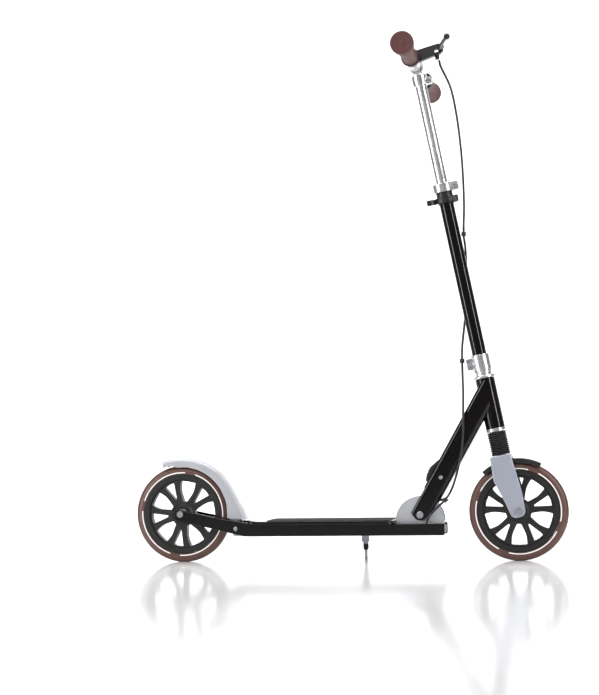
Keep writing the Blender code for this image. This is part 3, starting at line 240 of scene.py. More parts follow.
def smooth(points, steps=12):
    """Points of a smooth curve through the given ones."""
    spots = [Vector(point) for point in points]
    ends = [spots[0] * 2 - spots[1]] + spots + [spots[-1] * 2 - spots[-2]]
    fine = [spots[0]]
    for before, here, there, after in zip(ends, ends[1:], ends[2:], ends[3:]):
        for step in range(1, steps + 1):
            t = step / steps
            fine.append(0.5 * (2 * here + (there - before) * t
                               + (2 * before - 5 * here + 4 * there - after) * t ** 2
                               + (3 * here - before - 3 * there + after) * t ** 3))
    return fine


# ---------------------------------------------------------------- solids
def turned(outline, segments=None):
    """A solid turned about Z from (radius, height) points."""
    segments = segments or bpy.context.scene.scooter_sizes.segments
    bm = bmesh.new()
    verts = [bm.verts.new((radius, 0, height)) for radius, height in outline]
    pairs = zip(verts, verts[1:] + verts[:1])
    edges = [bm.edges.new(pair) for pair in pairs if max(pair[0].co.x, pair[1].co.x) > 0]
    bmesh.ops.spin(bm, geom=verts + edges, cent=(0, 0, 0), axis=(0, 0, 1), angle=2 * math.pi,
                   steps=segments, use_merge=True)
    bmesh.ops.remove_doubles(bm, verts=bm.verts, dist=1e-6)
    return bm


def rod(radius, low, high, edge=0.0, segments=None):
    return turned(soft([(0, low), (radius, low), (radius, high), (0, high)], edge) if edge else
                  [(0, low), (radius, low), (radius, high), (0, high)], segments)


def ring(outer, inner, low, high, edge=0.0004, segments=None):
    return turned(soft([(outer, low), (outer, high), (inner, high), (inner, low)], edge), segments)


def slab(outline, low, high):
    """A flat piece with an outline of (x, z) points, from y = low to y = high."""
    bm = bmesh.new()
    face = bm.faces.new([bm.verts.new((x, low, z)) for x, z in outline])
    made = bmesh.ops.extrude_face_region(bm, geom=[face])["geom"]
    far = [v for v in made if isinstance(v, bmesh.types.BMVert)]
    bmesh.ops.translate(bm, verts=far, vec=(0, high - low, 0))
    return bm


def plate(outline, low, high):
    """A flat piece with a plan of (x, y) points, from z = low to z = high."""
    bm = slab([(x, -y) for x, y in outline], low, high)
    bmesh.ops.transform(bm, matrix=Matrix.Rotation(math.pi / 2, 4, "X"), verts=bm.verts)
    return bm


def box(low, high):
    return slab([(low[0], low[2]), (high[0], low[2]), (high[0], high[2]), (low[0], high[2])], low[1],
                high[1])


def mesh_object(name, bm, place):
    """A new object at the origin, with the shape moved to its place."""
    bmesh.ops.transform(bm, matrix=place, verts=bm.verts)
    bmesh.ops.recalc_face_normals(bm, faces=bm.faces)
    mesh = bpy.data.meshes.new(name)
    bm.to_mesh(mesh)
    bm.free()
    made = bpy.data.objects.new(name, mesh)
    bpy.context.scene.collection.objects.link(made)
    return made


def bevel(made, width, steps=3, angle=40):
    modifier = made.modifiers.new("edges", "BEVEL")
    modifier.width = width
    modifier.segments = steps
    modifier.limit_method = "ANGLE"
    modifier.angle_limit = math.radians(angle)


def settle(made):
    """Turn the object's modifiers into its mesh."""
    graph = bpy.context.evaluated_depsgraph_get()
    graph.update()
    mesh = bpy.data.meshes.new_from_object(made.evaluated_get(graph), preserve_all_data_layers=True,
                                           depsgraph=graph)
    old = made.data
    made.modifiers.clear()
    if made.type == "MESH":
        made.data = mesh
        bpy.data.meshes.remove(old)
        return made
    name = made.name
    bpy.data.objects.remove(made)
    result = bpy.data.objects.new(name, mesh)
    bpy.context.scene.collection.objects.link(result)
    return result


def finish(made, body, nodes, angle=38):
    """Smooth the piece, set it on its body, and let it stand for its nodes."""
    made.data.shade_smooth()
    made.data.set_sharp_from_angle(angle=math.radians(angle))
    level = made.modifiers.new("even_shading", "WEIGHTED_NORMAL")
    level.keep_sharp = True
    settle(made)
    if body:
        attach(made, body)
    if nodes:
        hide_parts(*nodes)
    PIECES.append(made.name)
    return made


def gather(*shapes):
    """One mesh of several shapes, each moved to its place."""
    whole = bmesh.new()
    for shape, where in shapes:
        bmesh.ops.transform(shape, matrix=where, verts=shape.verts)
        bmesh.ops.recalc_face_normals(shape, faces=shape.faces)
        mesh = bpy.data.meshes.new("gathered")
        shape.to_mesh(mesh)
        shape.free()
        whole.from_mesh(mesh)
        bpy.data.meshes.remove(mesh)
    return whole


def piece(name, bm, material, body, nodes=None, place=WORLD, joins=(), cuts=(), keeps=(), edge=0.0,
          last_edge=0.0):
    """A finished piece: the shape, its edges, what is joined on and cut out, its material and its body."""
    made = mesh_object(f"{name}_piece", bm, place)
    made.data.materials.append(MATERIALS[material])
    if edge:
        bevel(made, edge)
    helpers = []
    for operation, shapes in (("INTERSECT", keeps), ("UNION", joins), ("DIFFERENCE", cuts)):
        for shape, where in shapes:
            other = mesh_object(f"{name}_{operation.lower()}_{len(helpers)}", shape, where)
            modifier = made.modifiers.new(other.name, "BOOLEAN")
            modifier.operation = operation
            modifier.object = other
            helpers.append(other)
    if last_edge:
        bevel(made, last_edge, 2, 50)
    if made.modifiers:
        settle(made)
    for other in helpers:
        mesh = other.data
        bpy.data.objects.remove(other)
        bpy.data.meshes.remove(mesh)
    return finish(made, body, [name] if nodes is None else nodes)


# ---------------------------------------------------------------- node trees
def add_node(tree, kind, settings=None, **inputs):
    """Add a node with its settings; an input is a value, or a socket to link from."""
    made = tree.nodes.new(kind)
    for name, value in (settings or {}).items():
        setattr(made, name, value)
    for name, value in inputs.items():
        key = int(name[1:]) if name[0] == "_" and name[1:].isdigit() else name.replace("_", " ")
        if isinstance(value, (list, tuple)) and value and isinstance(value[0], bpy.types.NodeSocket):
            for socket in value:
                tree.links.new(socket, made.inputs[key])
        elif isinstance(value, bpy.types.NodeSocket):
            tree.links.new(value, made.inputs[key])
        else:
            made.inputs[key].default_value = value
    return made


def start_material(name):
    """A new material with a shader, and its surface's own coordinates in metres."""
    made = bpy.data.materials.new(name)
    made.use_nodes = True
    tree = made.node_tree
    tree.nodes.clear()
    shader = add_node(tree, "ShaderNodeBsdfPrincipled")
    add_node(tree, "ShaderNodeOutputMaterial", Surface=shader.outputs["BSDF"])
    spots = add_node(tree, "ShaderNodeTexCoord").outputs["Object"]
    return made, tree, shader, spots


def tinted(tree, spots, shader, key, scale, low, high):
    """Vary the base colour a little over patches of the given size."""
    noise = add_node(tree, "ShaderNodeTexNoise", Vector=spots, Scale=1 / scale, Detail=3.0)
    factor = add_node(tree, "ShaderNodeMapRange", Value=noise.outputs["Fac"], To_Min=low, To_Max=high)
    base = add_node(tree, "ShaderNodeMix", {"data_type": "RGBA", "blend_type": "MULTIPLY"}, Factor=1.0)
    base.inputs[6].default_value = colour(key)
    tree.links.new(factor.outputs["Result"], base.inputs[7])
    tree.links.new(base.outputs[2], shader.inputs["Base Color"])


def bumped(tree, height, shader, distance, strength=1.0):
    bump = add_node(tree, "ShaderNodeBump", Height=height, Distance=distance, Strength=strength)
    tree.links.new(bump.outputs["Normal"], shader.inputs["Normal"])


def roughened(tree, spots, shader, scale, low, high):
    noise = add_node(tree, "ShaderNodeTexNoise", Vector=spots, Scale=1 / scale, Detail=4.0)
    spread = add_node(tree, "ShaderNodeMapRange", Value=noise.outputs["Fac"], From_Min=0.3, From_Max=0.7,
                      To_Min=low, To_Max=high)
    tree.links.new(spread.outputs["Result"], shader.inputs["Roughness"])


def black_enamel():
    """Baked enamel on aluminium: wet and deep, with faint orange peel 2 mm across."""
    made, tree, shader, spots = start_material("black_enamel")
    shader.inputs["Specular IOR Level"].default_value = 0.35
    tinted(tree, spots, shader, "black_enamel", 0.05, 0.85, 1.15)
    roughened(tree, spots, shader, 0.02, 0.10, 0.16)
    peel = add_node(tree, "ShaderNodeTexNoise", Vector=spots, Scale=1 / 0.002, Detail=1.0)
    bumped(tree, peel.outputs["Fac"], shader, 0.000012)
    return made


def moulded_plastic():
    """Glass-filled nylon from a spark-eroded mould: dull, with a grain drawn at 0.8 mm so that it shows."""
    made, tree, shader, spots = start_material("moulded_nylon")
    tinted(tree, spots, shader, "black_plastic", 0.012, 0.8, 1.2)
    roughened(tree, spots, shader, 0.004, 0.36, 0.5)
    grain = add_node(tree, "ShaderNodeTexNoise", Vector=spots, Scale=1 / 0.0008, Detail=2.0)
    bumped(tree, grain.outputs["Fac"], shader, 0.00006)
    return made


def maths(tree, operation, first, second=0.0, third=0.0):
    made = add_node(tree, "ShaderNodeMath", {"operation": operation})
    for socket, value in zip(made.inputs, (first, second, third)):
        if isinstance(value, bpy.types.NodeSocket):
            tree.links.new(value, socket)
        else:
            socket.default_value = value
    return made.outputs[0]


def cast_urethane(name, axle, turn):
    """Cast polyurethane with a soft sheen; a ring of white ink is printed on each wall, broken into arcs.
    Painted shade darkens each wall inside the ring, where it steps down to the core.
    """
    sizes = bpy.context.scene.scooter_sizes
    made, tree, shader, spots = start_material(name)
    centred = add_node(tree, "ShaderNodeMapping", Vector=spots, Location=(-axle.x, -axle.y, -axle.z))
    parts = add_node(tree, "ShaderNodeSeparateXYZ", Vector=centred.outputs["Vector"]).outputs
    radius = maths(tree, "SQRT", maths(tree, "ADD", maths(tree, "POWER", parts["X"], 2.0),
                                       maths(tree, "POWER", parts["Z"], 2.0)))
    off_ring = maths(tree, "ABSOLUTE", maths(tree, "SUBTRACT", radius, sizes.stripe_radius))
    on_ring = add_node(tree, "ShaderNodeMapRange", Value=off_ring, From_Min=sizes.stripe_width * 0.6,
                       From_Max=sizes.stripe_width * 0.4)
    angle = maths(tree, "ADD", maths(tree, "ARCTAN2", parts["Z"], parts["X"]), turn)
    share = maths(tree, "FRACT", maths(tree, "MULTIPLY", angle, 2 / math.pi))
    in_arc = maths(tree, "MULTIPLY", maths(tree, "GREATER_THAN", share, 0.16),
                   maths(tree, "GREATER_THAN", radius, sizes.stripe_radius * 0.9))
    inked = maths(tree, "MULTIPLY", on_ring.outputs["Result"], in_arc)
    # Painted shade: the wall inside the printed ring, next to the core, is darkened to 0.82 of its colour.
    inner = add_node(tree, "ShaderNodeMapRange", Value=radius, From_Min=sizes.stripe_radius - 0.0022,
                     From_Max=sizes.stripe_radius - 0.0012, To_Min=0.82, To_Max=1.0)
    noise = add_node(tree, "ShaderNodeTexNoise", Vector=spots, Scale=1 / 0.02, Detail=3.0)
    patches = add_node(tree, "ShaderNodeMapRange", Value=noise.outputs["Fac"], To_Min=0.84, To_Max=1.14)
    shade = maths(tree, "MULTIPLY", inner.outputs["Result"], patches.outputs["Result"])
    brown = add_node(tree, "ShaderNodeMix", {"data_type": "RGBA", "blend_type": "MULTIPLY"}, Factor=1.0)
    brown.inputs[6].default_value = colour("urethane")
    tree.links.new(shade, brown.inputs[7])
    base = add_node(tree, "ShaderNodeMix", {"data_type": "RGBA"}, Factor=inked)
    tree.links.new(brown.outputs[2], base.inputs[6])
    base.inputs[7].default_value = colour("print")
    tree.links.new(base.outputs[2], shader.inputs["Base Color"])
    roughened(tree, spots, shader, 0.006, 0.34, 0.46)
    grain = add_node(tree, "ShaderNodeTexNoise", Vector=spots, Scale=1 / 0.0012, Detail=3.0)
    bumped(tree, grain.outputs["Fac"], shader, 0.00005)
    return made


def grip_rubber():
    """Soft moulded rubber with a pebbled skin, 1.4 mm from dimple to dimple."""
    made, tree, shader, spots = start_material("grip_rubber")
    tinted(tree, spots, shader, "grip", 0.008, 0.84, 1.16)
    roughened(tree, spots, shader, 0.004, 0.5, 0.66)
    pebbles = add_node(tree, "ShaderNodeTexVoronoi", {"feature": "SMOOTH_F1"}, Vector=spots,
                       Scale=1 / 0.0014, Smoothness=0.6)
    bumped(tree, pebbles.outputs["Distance"], shader, 0.00012)
    return made


def silver_lacquer(name, key, low, high):
    """Aluminium flake lacquer, softly metallic; its flakes are drawn at 4 mm, coarser than life, to show."""
    made, tree, shader, spots = start_material(name)
    shader.inputs["Metallic"].default_value = 0.55
    shader.inputs["Coat Weight"].default_value = 0.2
    shader.inputs["Coat Roughness"].default_value = 0.35
    tinted(tree, spots, shader, key, 0.004, 0.96, 1.04)
    roughened(tree, spots, shader, 0.012, low, high)
    flakes = add_node(tree, "ShaderNodeTexNoise", Vector=spots, Scale=1 / 0.004, Detail=1.0)
    bumped(tree, flakes.outputs["Fac"], shader, 0.00001)
    return made


def polished_aluminium():
    """Polished and anodised tube: mirror-like, with faint lengthwise drawing lines."""
    made, tree, shader, spots = start_material("polished_aluminium")
    shader.inputs["Metallic"].default_value = 1.0
    tinted(tree, spots, shader, "aluminium", 0.03, 0.97, 1.02)
    roughened(tree, spots, shader, 0.006, 0.26, 0.33)
    drawn = add_node(tree, "ShaderNodeMapping", Vector=spots, Scale=(1.0, 1.0, 0.04))
    lines = add_node(tree, "ShaderNodeTexNoise", Vector=drawn.outputs["Vector"], Scale=1 / 0.0008,
                     Detail=2.0)
    bumped(tree, lines.outputs["Fac"], shader, 0.000006)
    return made


def zinc_plate():
    """Bright zinc on steel: a slightly cloudy metal."""
    made, tree, shader, spots = start_material("zinc_plate")
    shader.inputs["Metallic"].default_value = 1.0
    tinted(tree, spots, shader, "zinc", 0.004, 0.85, 1.08)
    roughened(tree, spots, shader, 0.002, 0.22, 0.36)
    return made


def black_rubber():
    """Moulded rubber with a light sheen and a dusty bloom in patches."""
    made, tree, shader, spots = start_material("black_rubber")
    tinted(tree, spots, shader, "rubber", 0.01, 0.8, 1.25)
    roughened(tree, spots, shader, 0.005, 0.32, 0.46)
    grain = add_node(tree, "ShaderNodeTexNoise", Vector=spots, Scale=1 / 0.001, Detail=2.0)
    bumped(tree, grain.outputs["Fac"], shader, 0.00004)
    return made


def grip_tape():
    """Mineral grit bonded to a backing, 0.9 mm grains: dead matt with a rare glint."""
    made, tree, shader, spots = start_material("grip_tape")
    tinted(tree, spots, shader, "tape", 0.002, 0.6, 1.4)
    shader.inputs["Roughness"].default_value = 0.92
    grit = add_node(tree, "ShaderNodeTexVoronoi", Vector=spots, Scale=1 / 0.0009)
    bumped(tree, grit.outputs["Distance"], shader, 0.0004)
    return made


MATERIALS = {}


def make_materials():
    MATERIALS.update({
        "enamel": black_enamel(), "plastic": moulded_plastic(),
        "front_urethane": cast_urethane("cast_urethane_front", FRONT_AXLE, 0.5),
        "rear_urethane": cast_urethane("cast_urethane_rear", REAR_AXLE, 1.9),
        "grip": grip_rubber(), "lacquer": silver_lacquer("silver_lacquer", "silver_paint", 0.34, 0.42),
        "pressed": silver_lacquer("pressed_silver", "pressed_silver", 0.36, 0.44),
        "polished": polished_aluminium(), "zinc": zinc_plate(), "rubber": black_rubber(),
        "tape": grip_tape(),
    })


# ---------------------------------------------------------------- geometry node trees
def start_tree(name, sockets, takes_geometry=True):
    """A geometry tree with named inputs of (name, kind, default)."""
    tree = bpy.data.node_groups.new(name, "GeometryNodeTree")
    if takes_geometry:
        tree.interface.new_socket("Geometry", in_out="INPUT", socket_type="NodeSocketGeometry")
    for label, kind, default in sockets:
        socket = tree.interface.new_socket(label, in_out="INPUT", socket_type=kind)
        if default is not None:
            socket.default_value = default
    tree.interface.new_socket("Geometry", in_out="OUTPUT", socket_type="NodeSocketGeometry")
    return tree, add_node(tree, "NodeGroupInput").outputs


def end_tree(tree, geometry, material):
    real = add_node(tree, "GeometryNodeRealizeInstances", Geometry=geometry)
    painted = add_node(tree, "GeometryNodeSetMaterial", Geometry=real.outputs["Geometry"],
                       Material=material)
    add_node(tree, "NodeGroupOutput", Geometry=painted.outputs["Geometry"])
    return tree


def run_tree(made, tree, **values):
    """Set the tree's inputs on the object, and turn the result into a plain mesh."""
    modifier = made.modifiers.new(tree.name, "NODES")
    modifier.node_group = tree
    sockets = {item.name: item.identifier for item in tree.interface.items_tree if item.in_out == "INPUT"}
    for name, value in values.items():
        modifier[sockets[name.replace("_", " ")]] = value
    return settle(made)


def cord_tree():
    """A round cord along a curve."""
    tree, given = start_tree("cord", [("Radius", "NodeSocketFloat", 0.0025), ("Sides", "NodeSocketInt", 20),
                                      ("Material", "NodeSocketMaterial", None)])
    section = add_node(tree, "GeometryNodeCurvePrimitiveCircle", Resolution=given["Sides"],
                       Radius=given["Radius"])
    tube = add_node(tree, "GeometryNodeCurveToMesh", Curve=given["Geometry"],
                    Profile_Curve=section.outputs["Curve"], Fill_Caps=True)
    return end_tree(tree, tube.outputs["Mesh"], given["Material"])


def spring_tree():
    """A round-wire coil spring that stands on its axis."""
    tree, given = start_tree("spring", [("Turns", "NodeSocketFloat", 4.0),
                                        ("Coil Radius", "NodeSocketFloat", 0.01),
                                        ("Height", "NodeSocketFloat", 0.03),
                                        ("Wire", "NodeSocketFloat", 0.001),
                                        ("Material", "NodeSocketMaterial", None)])
    coil = add_node(tree, "GeometryNodeCurveSpiral", Resolution=36, Rotations=given["Turns"],
                    Start_Radius=given["Coil Radius"], End_Radius=given["Coil Radius"],
                    Height=given["Height"])
    section = add_node(tree, "GeometryNodeCurvePrimitiveCircle", Resolution=12, Radius=given["Wire"])
    wire = add_node(tree, "GeometryNodeCurveToMesh", Curve=coil.outputs["Curve"],
                    Profile_Curve=section.outputs["Curve"], Fill_Caps=True)
    return end_tree(tree, wire.outputs["Mesh"], given["Material"])


def bolt_tree():
    """Through bolts along Z, one at each point: a shank and a chamfered socket head at both ends."""
    tree, given = start_tree("through_bolts", [
        ("Shank Radius", "NodeSocketFloat", 0.002), ("Head Radius", "NodeSocketFloat", 0.004),
        ("Head Height", "NodeSocketFloat", 0.003), ("Grip", "NodeSocketFloat", 0.02),
        ("Socket Radius", "NodeSocketFloat", 0.002), ("Material", "NodeSocketMaterial", None)])

    def raised(geometry, height):
        lift = add_node(tree, "ShaderNodeCombineXYZ", Z=height)
        return add_node(tree, "GeometryNodeTransform", Geometry=geometry,
                        Translation=lift.outputs["Vector"]).outputs["Geometry"]

    head, tall, grip = given["Head Radius"], given["Head Height"], given["Grip"]
    half = maths(tree, "MULTIPLY", grip, 0.5)
    shank = add_node(tree, "GeometryNodeMeshCylinder", Vertices=32, Radius=given["Shank Radius"],
                     Depth=maths(tree, "ADD", grip, maths(tree, "MULTIPLY", tall, 0.8)))
    flat = add_node(tree, "GeometryNodeMeshCylinder", Vertices=48, Radius=head,
                    Depth=maths(tree, "MULTIPLY", tall, 0.7))
    flat_at = maths(tree, "ADD", half, maths(tree, "MULTIPLY", tall, 0.35))
    crown = add_node(tree, "GeometryNodeMeshCone", Vertices=48, Radius_Bottom=head,
                     Radius_Top=maths(tree, "MULTIPLY", head, 0.86),
                     Depth=maths(tree, "MULTIPLY", tall, 0.3))
    crown_at = maths(tree, "ADD", half, maths(tree, "MULTIPLY", tall, 0.7))
    end = add_node(tree, "GeometryNodeMeshBoolean", {"operation": "UNION"},
                   Mesh_2=[raised(flat.outputs["Mesh"], flat_at), raised(crown.outputs["Mesh"], crown_at)])
    hexagon = add_node(tree, "GeometryNodeMeshCylinder", Vertices=6, Radius=given["Socket Radius"],
                       Depth=tall)
    drilled = add_node(tree, "GeometryNodeMeshBoolean", {"operation": "DIFFERENCE"},
                       Mesh_1=end.outputs["Mesh"], Mesh_2=[raised(hexagon.outputs["Mesh"],
                                      maths(tree, "ADD", half, maths(tree, "MULTIPLY", tall, 1.05)))])
    other = add_node(tree, "GeometryNodeTransform", Geometry=drilled.outputs["Mesh"],
                     Rotation=(math.pi, 0, 0))
    whole = add_node(tree, "GeometryNodeJoinGeometry",
                     Geometry=[shank.outputs["Mesh"], drilled.outputs["Mesh"], other.outputs["Geometry"]])
    placed = add_node(tree, "GeometryNodeInstanceOnPoints", Points=given["Geometry"],
                      Instance=whole.outputs["Geometry"])
    return end_tree(tree, placed.outputs["Instances"], given["Material"])


TREES = {}


def make_trees():
    TREES.update({"cord": cord_tree(), "spring": spring_tree(), "bolts": bolt_tree(),
                  "bellows": bellows_tree()})


def bolts(name, body, spots, place, shank, head, tall, grip, nodes=None):
    """Through bolts along the place's Z at each of the spots, all in one piece."""
    mesh = bpy.data.meshes.new(f"{name}_piece")
    mesh.from_pydata([Vector(spot) for spot in spots], [], [])
    made = bpy.data.objects.new(mesh.name, mesh)
    bpy.context.scene.collection.objects.link(made)
    made = run_tree(made, TREES["bolts"], Shank_Radius=shank, Head_Radius=head, Head_Height=tall, Grip=grip,
                    Socket_Radius=head * 0.5, Material=MATERIALS["zinc"])
    made.data.transform(place)
    return finish(made, body, [name] if nodes is None else nodes, 30)


def spring(name, body, place, turns, radius, height, wire):
    mesh = bpy.data.meshes.new(f"{name}_piece")
    made = bpy.data.objects.new(mesh.name, mesh)
    bpy.context.scene.collection.objects.link(made)
    made = run_tree(made, TREES["spring"], Turns=float(turns), Coil_Radius=radius, Height=height, Wire=wire,
                    Material=MATERIALS["zinc"])
    made.data.transform(place)
    return finish(made, body, [name], 60)


def bellows_tree():
    """A rubber sleeve whose radius swells and falls once for each rib."""
    tree, given = start_tree("bellows", [("Ribs", "NodeSocketInt", 10), ("Low", "NodeSocketFloat", 0.0),
                                         ("High", "NodeSocketFloat", 0.05),
                                         ("Radius", "NodeSocketFloat", 0.02),
                                         ("Depth", "NodeSocketFloat", 0.003),
                                         ("Material", "NodeSocketMaterial", None)])
    start = add_node(tree, "ShaderNodeCombineXYZ", Z=given["Low"])
    end = add_node(tree, "ShaderNodeCombineXYZ", Z=given["High"])
    line = add_node(tree, "GeometryNodeCurvePrimitiveLine", Start=start.outputs["Vector"],
                    End=end.outputs["Vector"])
    steps = maths(tree, "ADD", maths(tree, "MULTIPLY", given["Ribs"], 16.0), 1.0)
    fine = add_node(tree, "GeometryNodeResampleCurve", Curve=line.outputs["Curve"], Count=steps)
    along = add_node(tree, "GeometryNodeSplineParameter").outputs["Factor"]
    wave = maths(tree, "ABSOLUTE", maths(tree, "SINE", maths(tree, "MULTIPLY",
                                                             maths(tree, "MULTIPLY", along, math.pi),
                                                          given["Ribs"])))
    fall = maths(tree, "MULTIPLY", maths(tree, "SUBTRACT", 1.0, maths(tree, "POWER", wave, 0.8)),
                 given["Depth"])
    reach = maths(tree, "SUBTRACT", given["Radius"], fall)
    swollen = add_node(tree, "GeometryNodeSetCurveRadius", Curve=fine.outputs["Curve"], Radius=reach)
    section = add_node(tree, "GeometryNodeCurvePrimitiveCircle", Resolution=96, Radius=1.0)
    sleeve = add_node(tree, "GeometryNodeCurveToMesh", Curve=swollen.outputs["Curve"],
                      Profile_Curve=section.outputs["Curve"], Fill_Caps=True)
    if "Scale" in sleeve.inputs:
        tree.links.new(reach, sleeve.inputs["Scale"])
    return end_tree(tree, sleeve.outputs["Mesh"], given["Material"])


def cord(name, route, bodies):
    """A cable along a smooth curve through the route, set on its body; a cable between two bodies is set on
    none.
    """
    curve = bpy.data.curves.new(f"{name}_piece", "CURVE")
    curve.dimensions = "3D"
    spline = curve.splines.new("POLY")
    points = smooth(route, 8)
    spline.points.add(len(points) - 1)
    for point, spot in zip(spline.points, points):
        point.co = (*spot, 1)
    made = bpy.data.objects.new(curve.name, curve)
    bpy.context.scene.collection.objects.link(made)
    made = run_tree(made, TREES["cord"], Radius=CABLE_RADIUS, Sides=20, Material=MATERIALS["rubber"])
    made.data.shade_smooth()
    made.data.set_sharp_from_angle(angle=math.radians(50))
    if len(bodies) == 2:
        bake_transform(made)
    else:
        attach(made, bodies[0])
    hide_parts(name)
    PIECES.append(name)
    return made


# ---------------------------------------------------------------- wheels
def bolt_through(name, body, centre, inside, outside, head, tall):
    """A wheel's axle: a shoulder beside each bearing, and a socket head at both ends."""
    near, end = HUB_WIDTH / 2 + 0.0004, outside + GAP
    side = [(0.004, near), (0.0075, near), (0.0075, inside - GAP), (0.004, inside - GAP), (0.004, end),
            (head, end), (head, end + tall * 0.7), (head * 0.86, end + tall), (0, end + tall)]
    outline = [(radius, -height) for radius, height in reversed(side)] + side
    place = Matrix.Translation(centre) @ ACROSS
    sockets = [(plate(disc(0, 0, head * 0.52, 6), end + tall * 0.35, end + tall * 2), place),
               (plate(disc(0, 0, head * 0.52, 6), -end - tall * 2, -end - tall * 0.35), place)]
    piece(name, turned(outline, 64), "zinc", body, place=place, cuts=sockets)


def make_wheel(prefix, body, centre, window_turn):
    """A moulded core with five long and five small windows, a cast tyre on its rim and two bearings."""
    place = Matrix.Translation(centre) @ ACROSS
    half, seat = TYRE_WIDTH / 2, RIM_RADIUS + GAP
    side = [(seat, 0.0128), (seat + 0.0008, half - 0.0012), (0.0862, half - 0.0006),
            (0.0868, half - 0.0002), (0.0905, half), (0.0950, half - 0.0011), (0.0985, half - 0.0036),
            (0.1006, half - 0.0062), (0.1018, half - 0.0088), (TYRE_RADIUS - 0.0001, half - 0.0120),
            (TYRE_RADIUS, 0.0)]
    outline = side + [(radius, -height) for radius, height in reversed(side[:-1])]
    piece(f"{prefix}_tyre", turned(soft(outline, 0.0015, 3), 128), f"{prefix}_urethane", body, place=place)

    rim, hub, web = 0.013, HUB_WIDTH / 2, 0.0085
    bore, shelf = 0.0113, HUB_WIDTH / 2 - 0.007
    face = [(0.008, shelf), (bore, shelf), (bore, hub), (0.0180, hub), (0.0195, hub - 0.0012),
            (0.0230, web + 0.001), (0.0690, web), (0.0715, web + 0.0006), (0.0735, rim - 0.0006),
            (0.0830, rim), (RIM_RADIUS, rim - 0.0008)]
    outline = face + [(radius, -height) for radius, height in reversed(face)]
    long_window = rounded([(0.0265, -0.0042, 0.002), (0.049, -0.0150, 0.045),
                           (WINDOW_RADIUS, -0.0165, 0.003), (WINDOW_RADIUS + 0.0008, 0, 0.0),
                           (WINDOW_RADIUS, 0.0165, 0.003), (0.049, 0.0150, 0.045),
                           (0.0265, 0.0042, 0.002)], 6)
    small_window = rounded([(0.0335, -0.0015, 0.0), (WINDOW_RADIUS - 0.001, -0.0112, 0.0015),
                            (WINDOW_RADIUS + 0.0005, 0, 0.0), (WINDOW_RADIUS - 0.001, 0.0112, 0.0015),
                            (0.0335, 0.0015, 0.0)], 4)
    windows = []
    for number in range(10):
        turn = Matrix.Rotation(-window_turn - math.pi * number / 5, 4, "Y")
        windows.append((slab(small_window if number % 2 else long_window, -0.03, 0.03), turn))
    piece(f"{prefix}_wheel_core", turned(outline, 128), "plastic", body, place=place,
          cuts=[(gather(*windows), Matrix.Translation(centre))], last_edge=0.0007)

    shell = [(0.0046, shelf + GAP), (0.0104, shelf + GAP), (0.0110, shelf + 0.001), (0.0110, hub - 0.0006),
             (0.0106, hub - 0.0002), (0.0094, hub - 0.0002), (0.0092, hub - 0.0006), (0.0064, hub - 0.0006),
             (0.0062, hub - 0.0002), (0.0046, hub - 0.0002)]
    outline = [(radius, -height) for radius, height in reversed(shell)] + shell
    piece(f"{prefix}_bearings", turned(outline, 64), "zinc", body, place=place)


def make_wheels():
    make_wheel("rear", "rear_wheel", REAR_AXLE, math.radians(80))
    make_wheel("front", "front_wheel", FRONT_AXLE, math.radians(-90))
    bolt_through("rear_axle", "deck", REAR_AXLE, RAIL_OUTSIDE - RAIL_WALL, RAIL_OUTSIDE, 0.0073, 0.0055)
    bolt_through("front_axle", "fork", FRONT_AXLE, FORK_OUTSIDE - FORK_LEG, FORK_OUTSIDE, 0.0073, 0.0055)


# ---------------------------------------------------------------- deck
def make_deck():
    rail = rounded([(0.2050, RAIL_BOTTOM, 0.004), (0.2050, RAIL_TOP, 0.003), (-0.188, RAIL_TOP, 0.03),
                    (-0.2600, 0.0905, 0.0), (REAR_AXLE.x - 0.0130, REAR_AXLE.z + 0.0115, 0.004),
                    (REAR_AXLE.x - 0.0130, REAR_AXLE.z - 0.0135, 0.004), (-0.2900, 0.0722, 0.0),
                    (-0.2200, RAIL_BOTTOM, 0.06)], 10)
    for side, way in (("right", -1), ("left", 1)):
        outer, inner = way * RAIL_OUTSIDE, way * (RAIL_OUTSIDE - RAIL_WALL)
        holes = [(slab(disc(REAR_AXLE.x, REAR_AXLE.z, 0.0043), -0.05, 0.05), WORLD),
                 (slab(disc(FENDER_PIVOT.x, FENDER_PIVOT.z, 0.0033), -0.05, 0.05), WORLD)]
        piece(f"side_rail_{side}", slab(rail, min(outer, inner), max(outer, inner)), "enamel", "deck",
              cuts=holes, edge=0.0014)

    front, rear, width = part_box("foot_board")[1].x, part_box("foot_board")[0].x, 0.120
    low, high = RAIL_TOP + GAP, RAIL_TOP + GAP + 0.0075
    curl = [(n / 8, 0.004 * (n / 8) ** 2) for n in range(1, 9)]
    board = [(front, low), (front, high), (rear + 0.03, high)]
    board += [(rear + 0.03 - 0.03 * t, high + rise) for t, rise in curl]
    board += [(rear + 0.03 - 0.03 * t, low + rise) for t, rise in reversed(curl)]
    board += [(rear + 0.03, low)]
    middle_at = Matrix.Translation(((front + rear) / 2, 0, 0))
    plan = plate(rectangle(front - rear, width, 0.016), 0, 0.2)
    piece("foot_board", slab(board, -width / 2, width / 2), "enamel", "deck", keeps=[(plan, middle_at)],
          last_edge=0.0016)
    tape = rectangle(front - rear - 0.048, width - 0.014, 0.010)
    piece("grip_tape", plate(tape, high + GAP, high + GAP + 0.001), "tape", "deck",
          place=middle_at @ Matrix.Translation((0.017, 0, 0)), edge=0.0003)

    base = RAIL_TOP + GAP
    centre_x, centre_z = PIN.x - 0.0017, PIN.z - 0.0118
    start = math.asin((base - centre_z) / 0.0505)
    outline = [(centre_x + x, centre_z + z) for x, z in arc(0.0505, start, math.pi - start, 64)]
    inside = 0.0125
    piece("fold_bracket", slab(outline, -0.0175, 0.0175), "pressed", "deck", last_edge=0.0008,
          cuts=[(box((centre_x - 0.1, -inside, base + 0.0045), (centre_x + 0.1, inside, 0.2)), WORLD),
                (slab(disc(PIN.x, PIN.z, 0.0054), -0.05, 0.05), WORLD)])


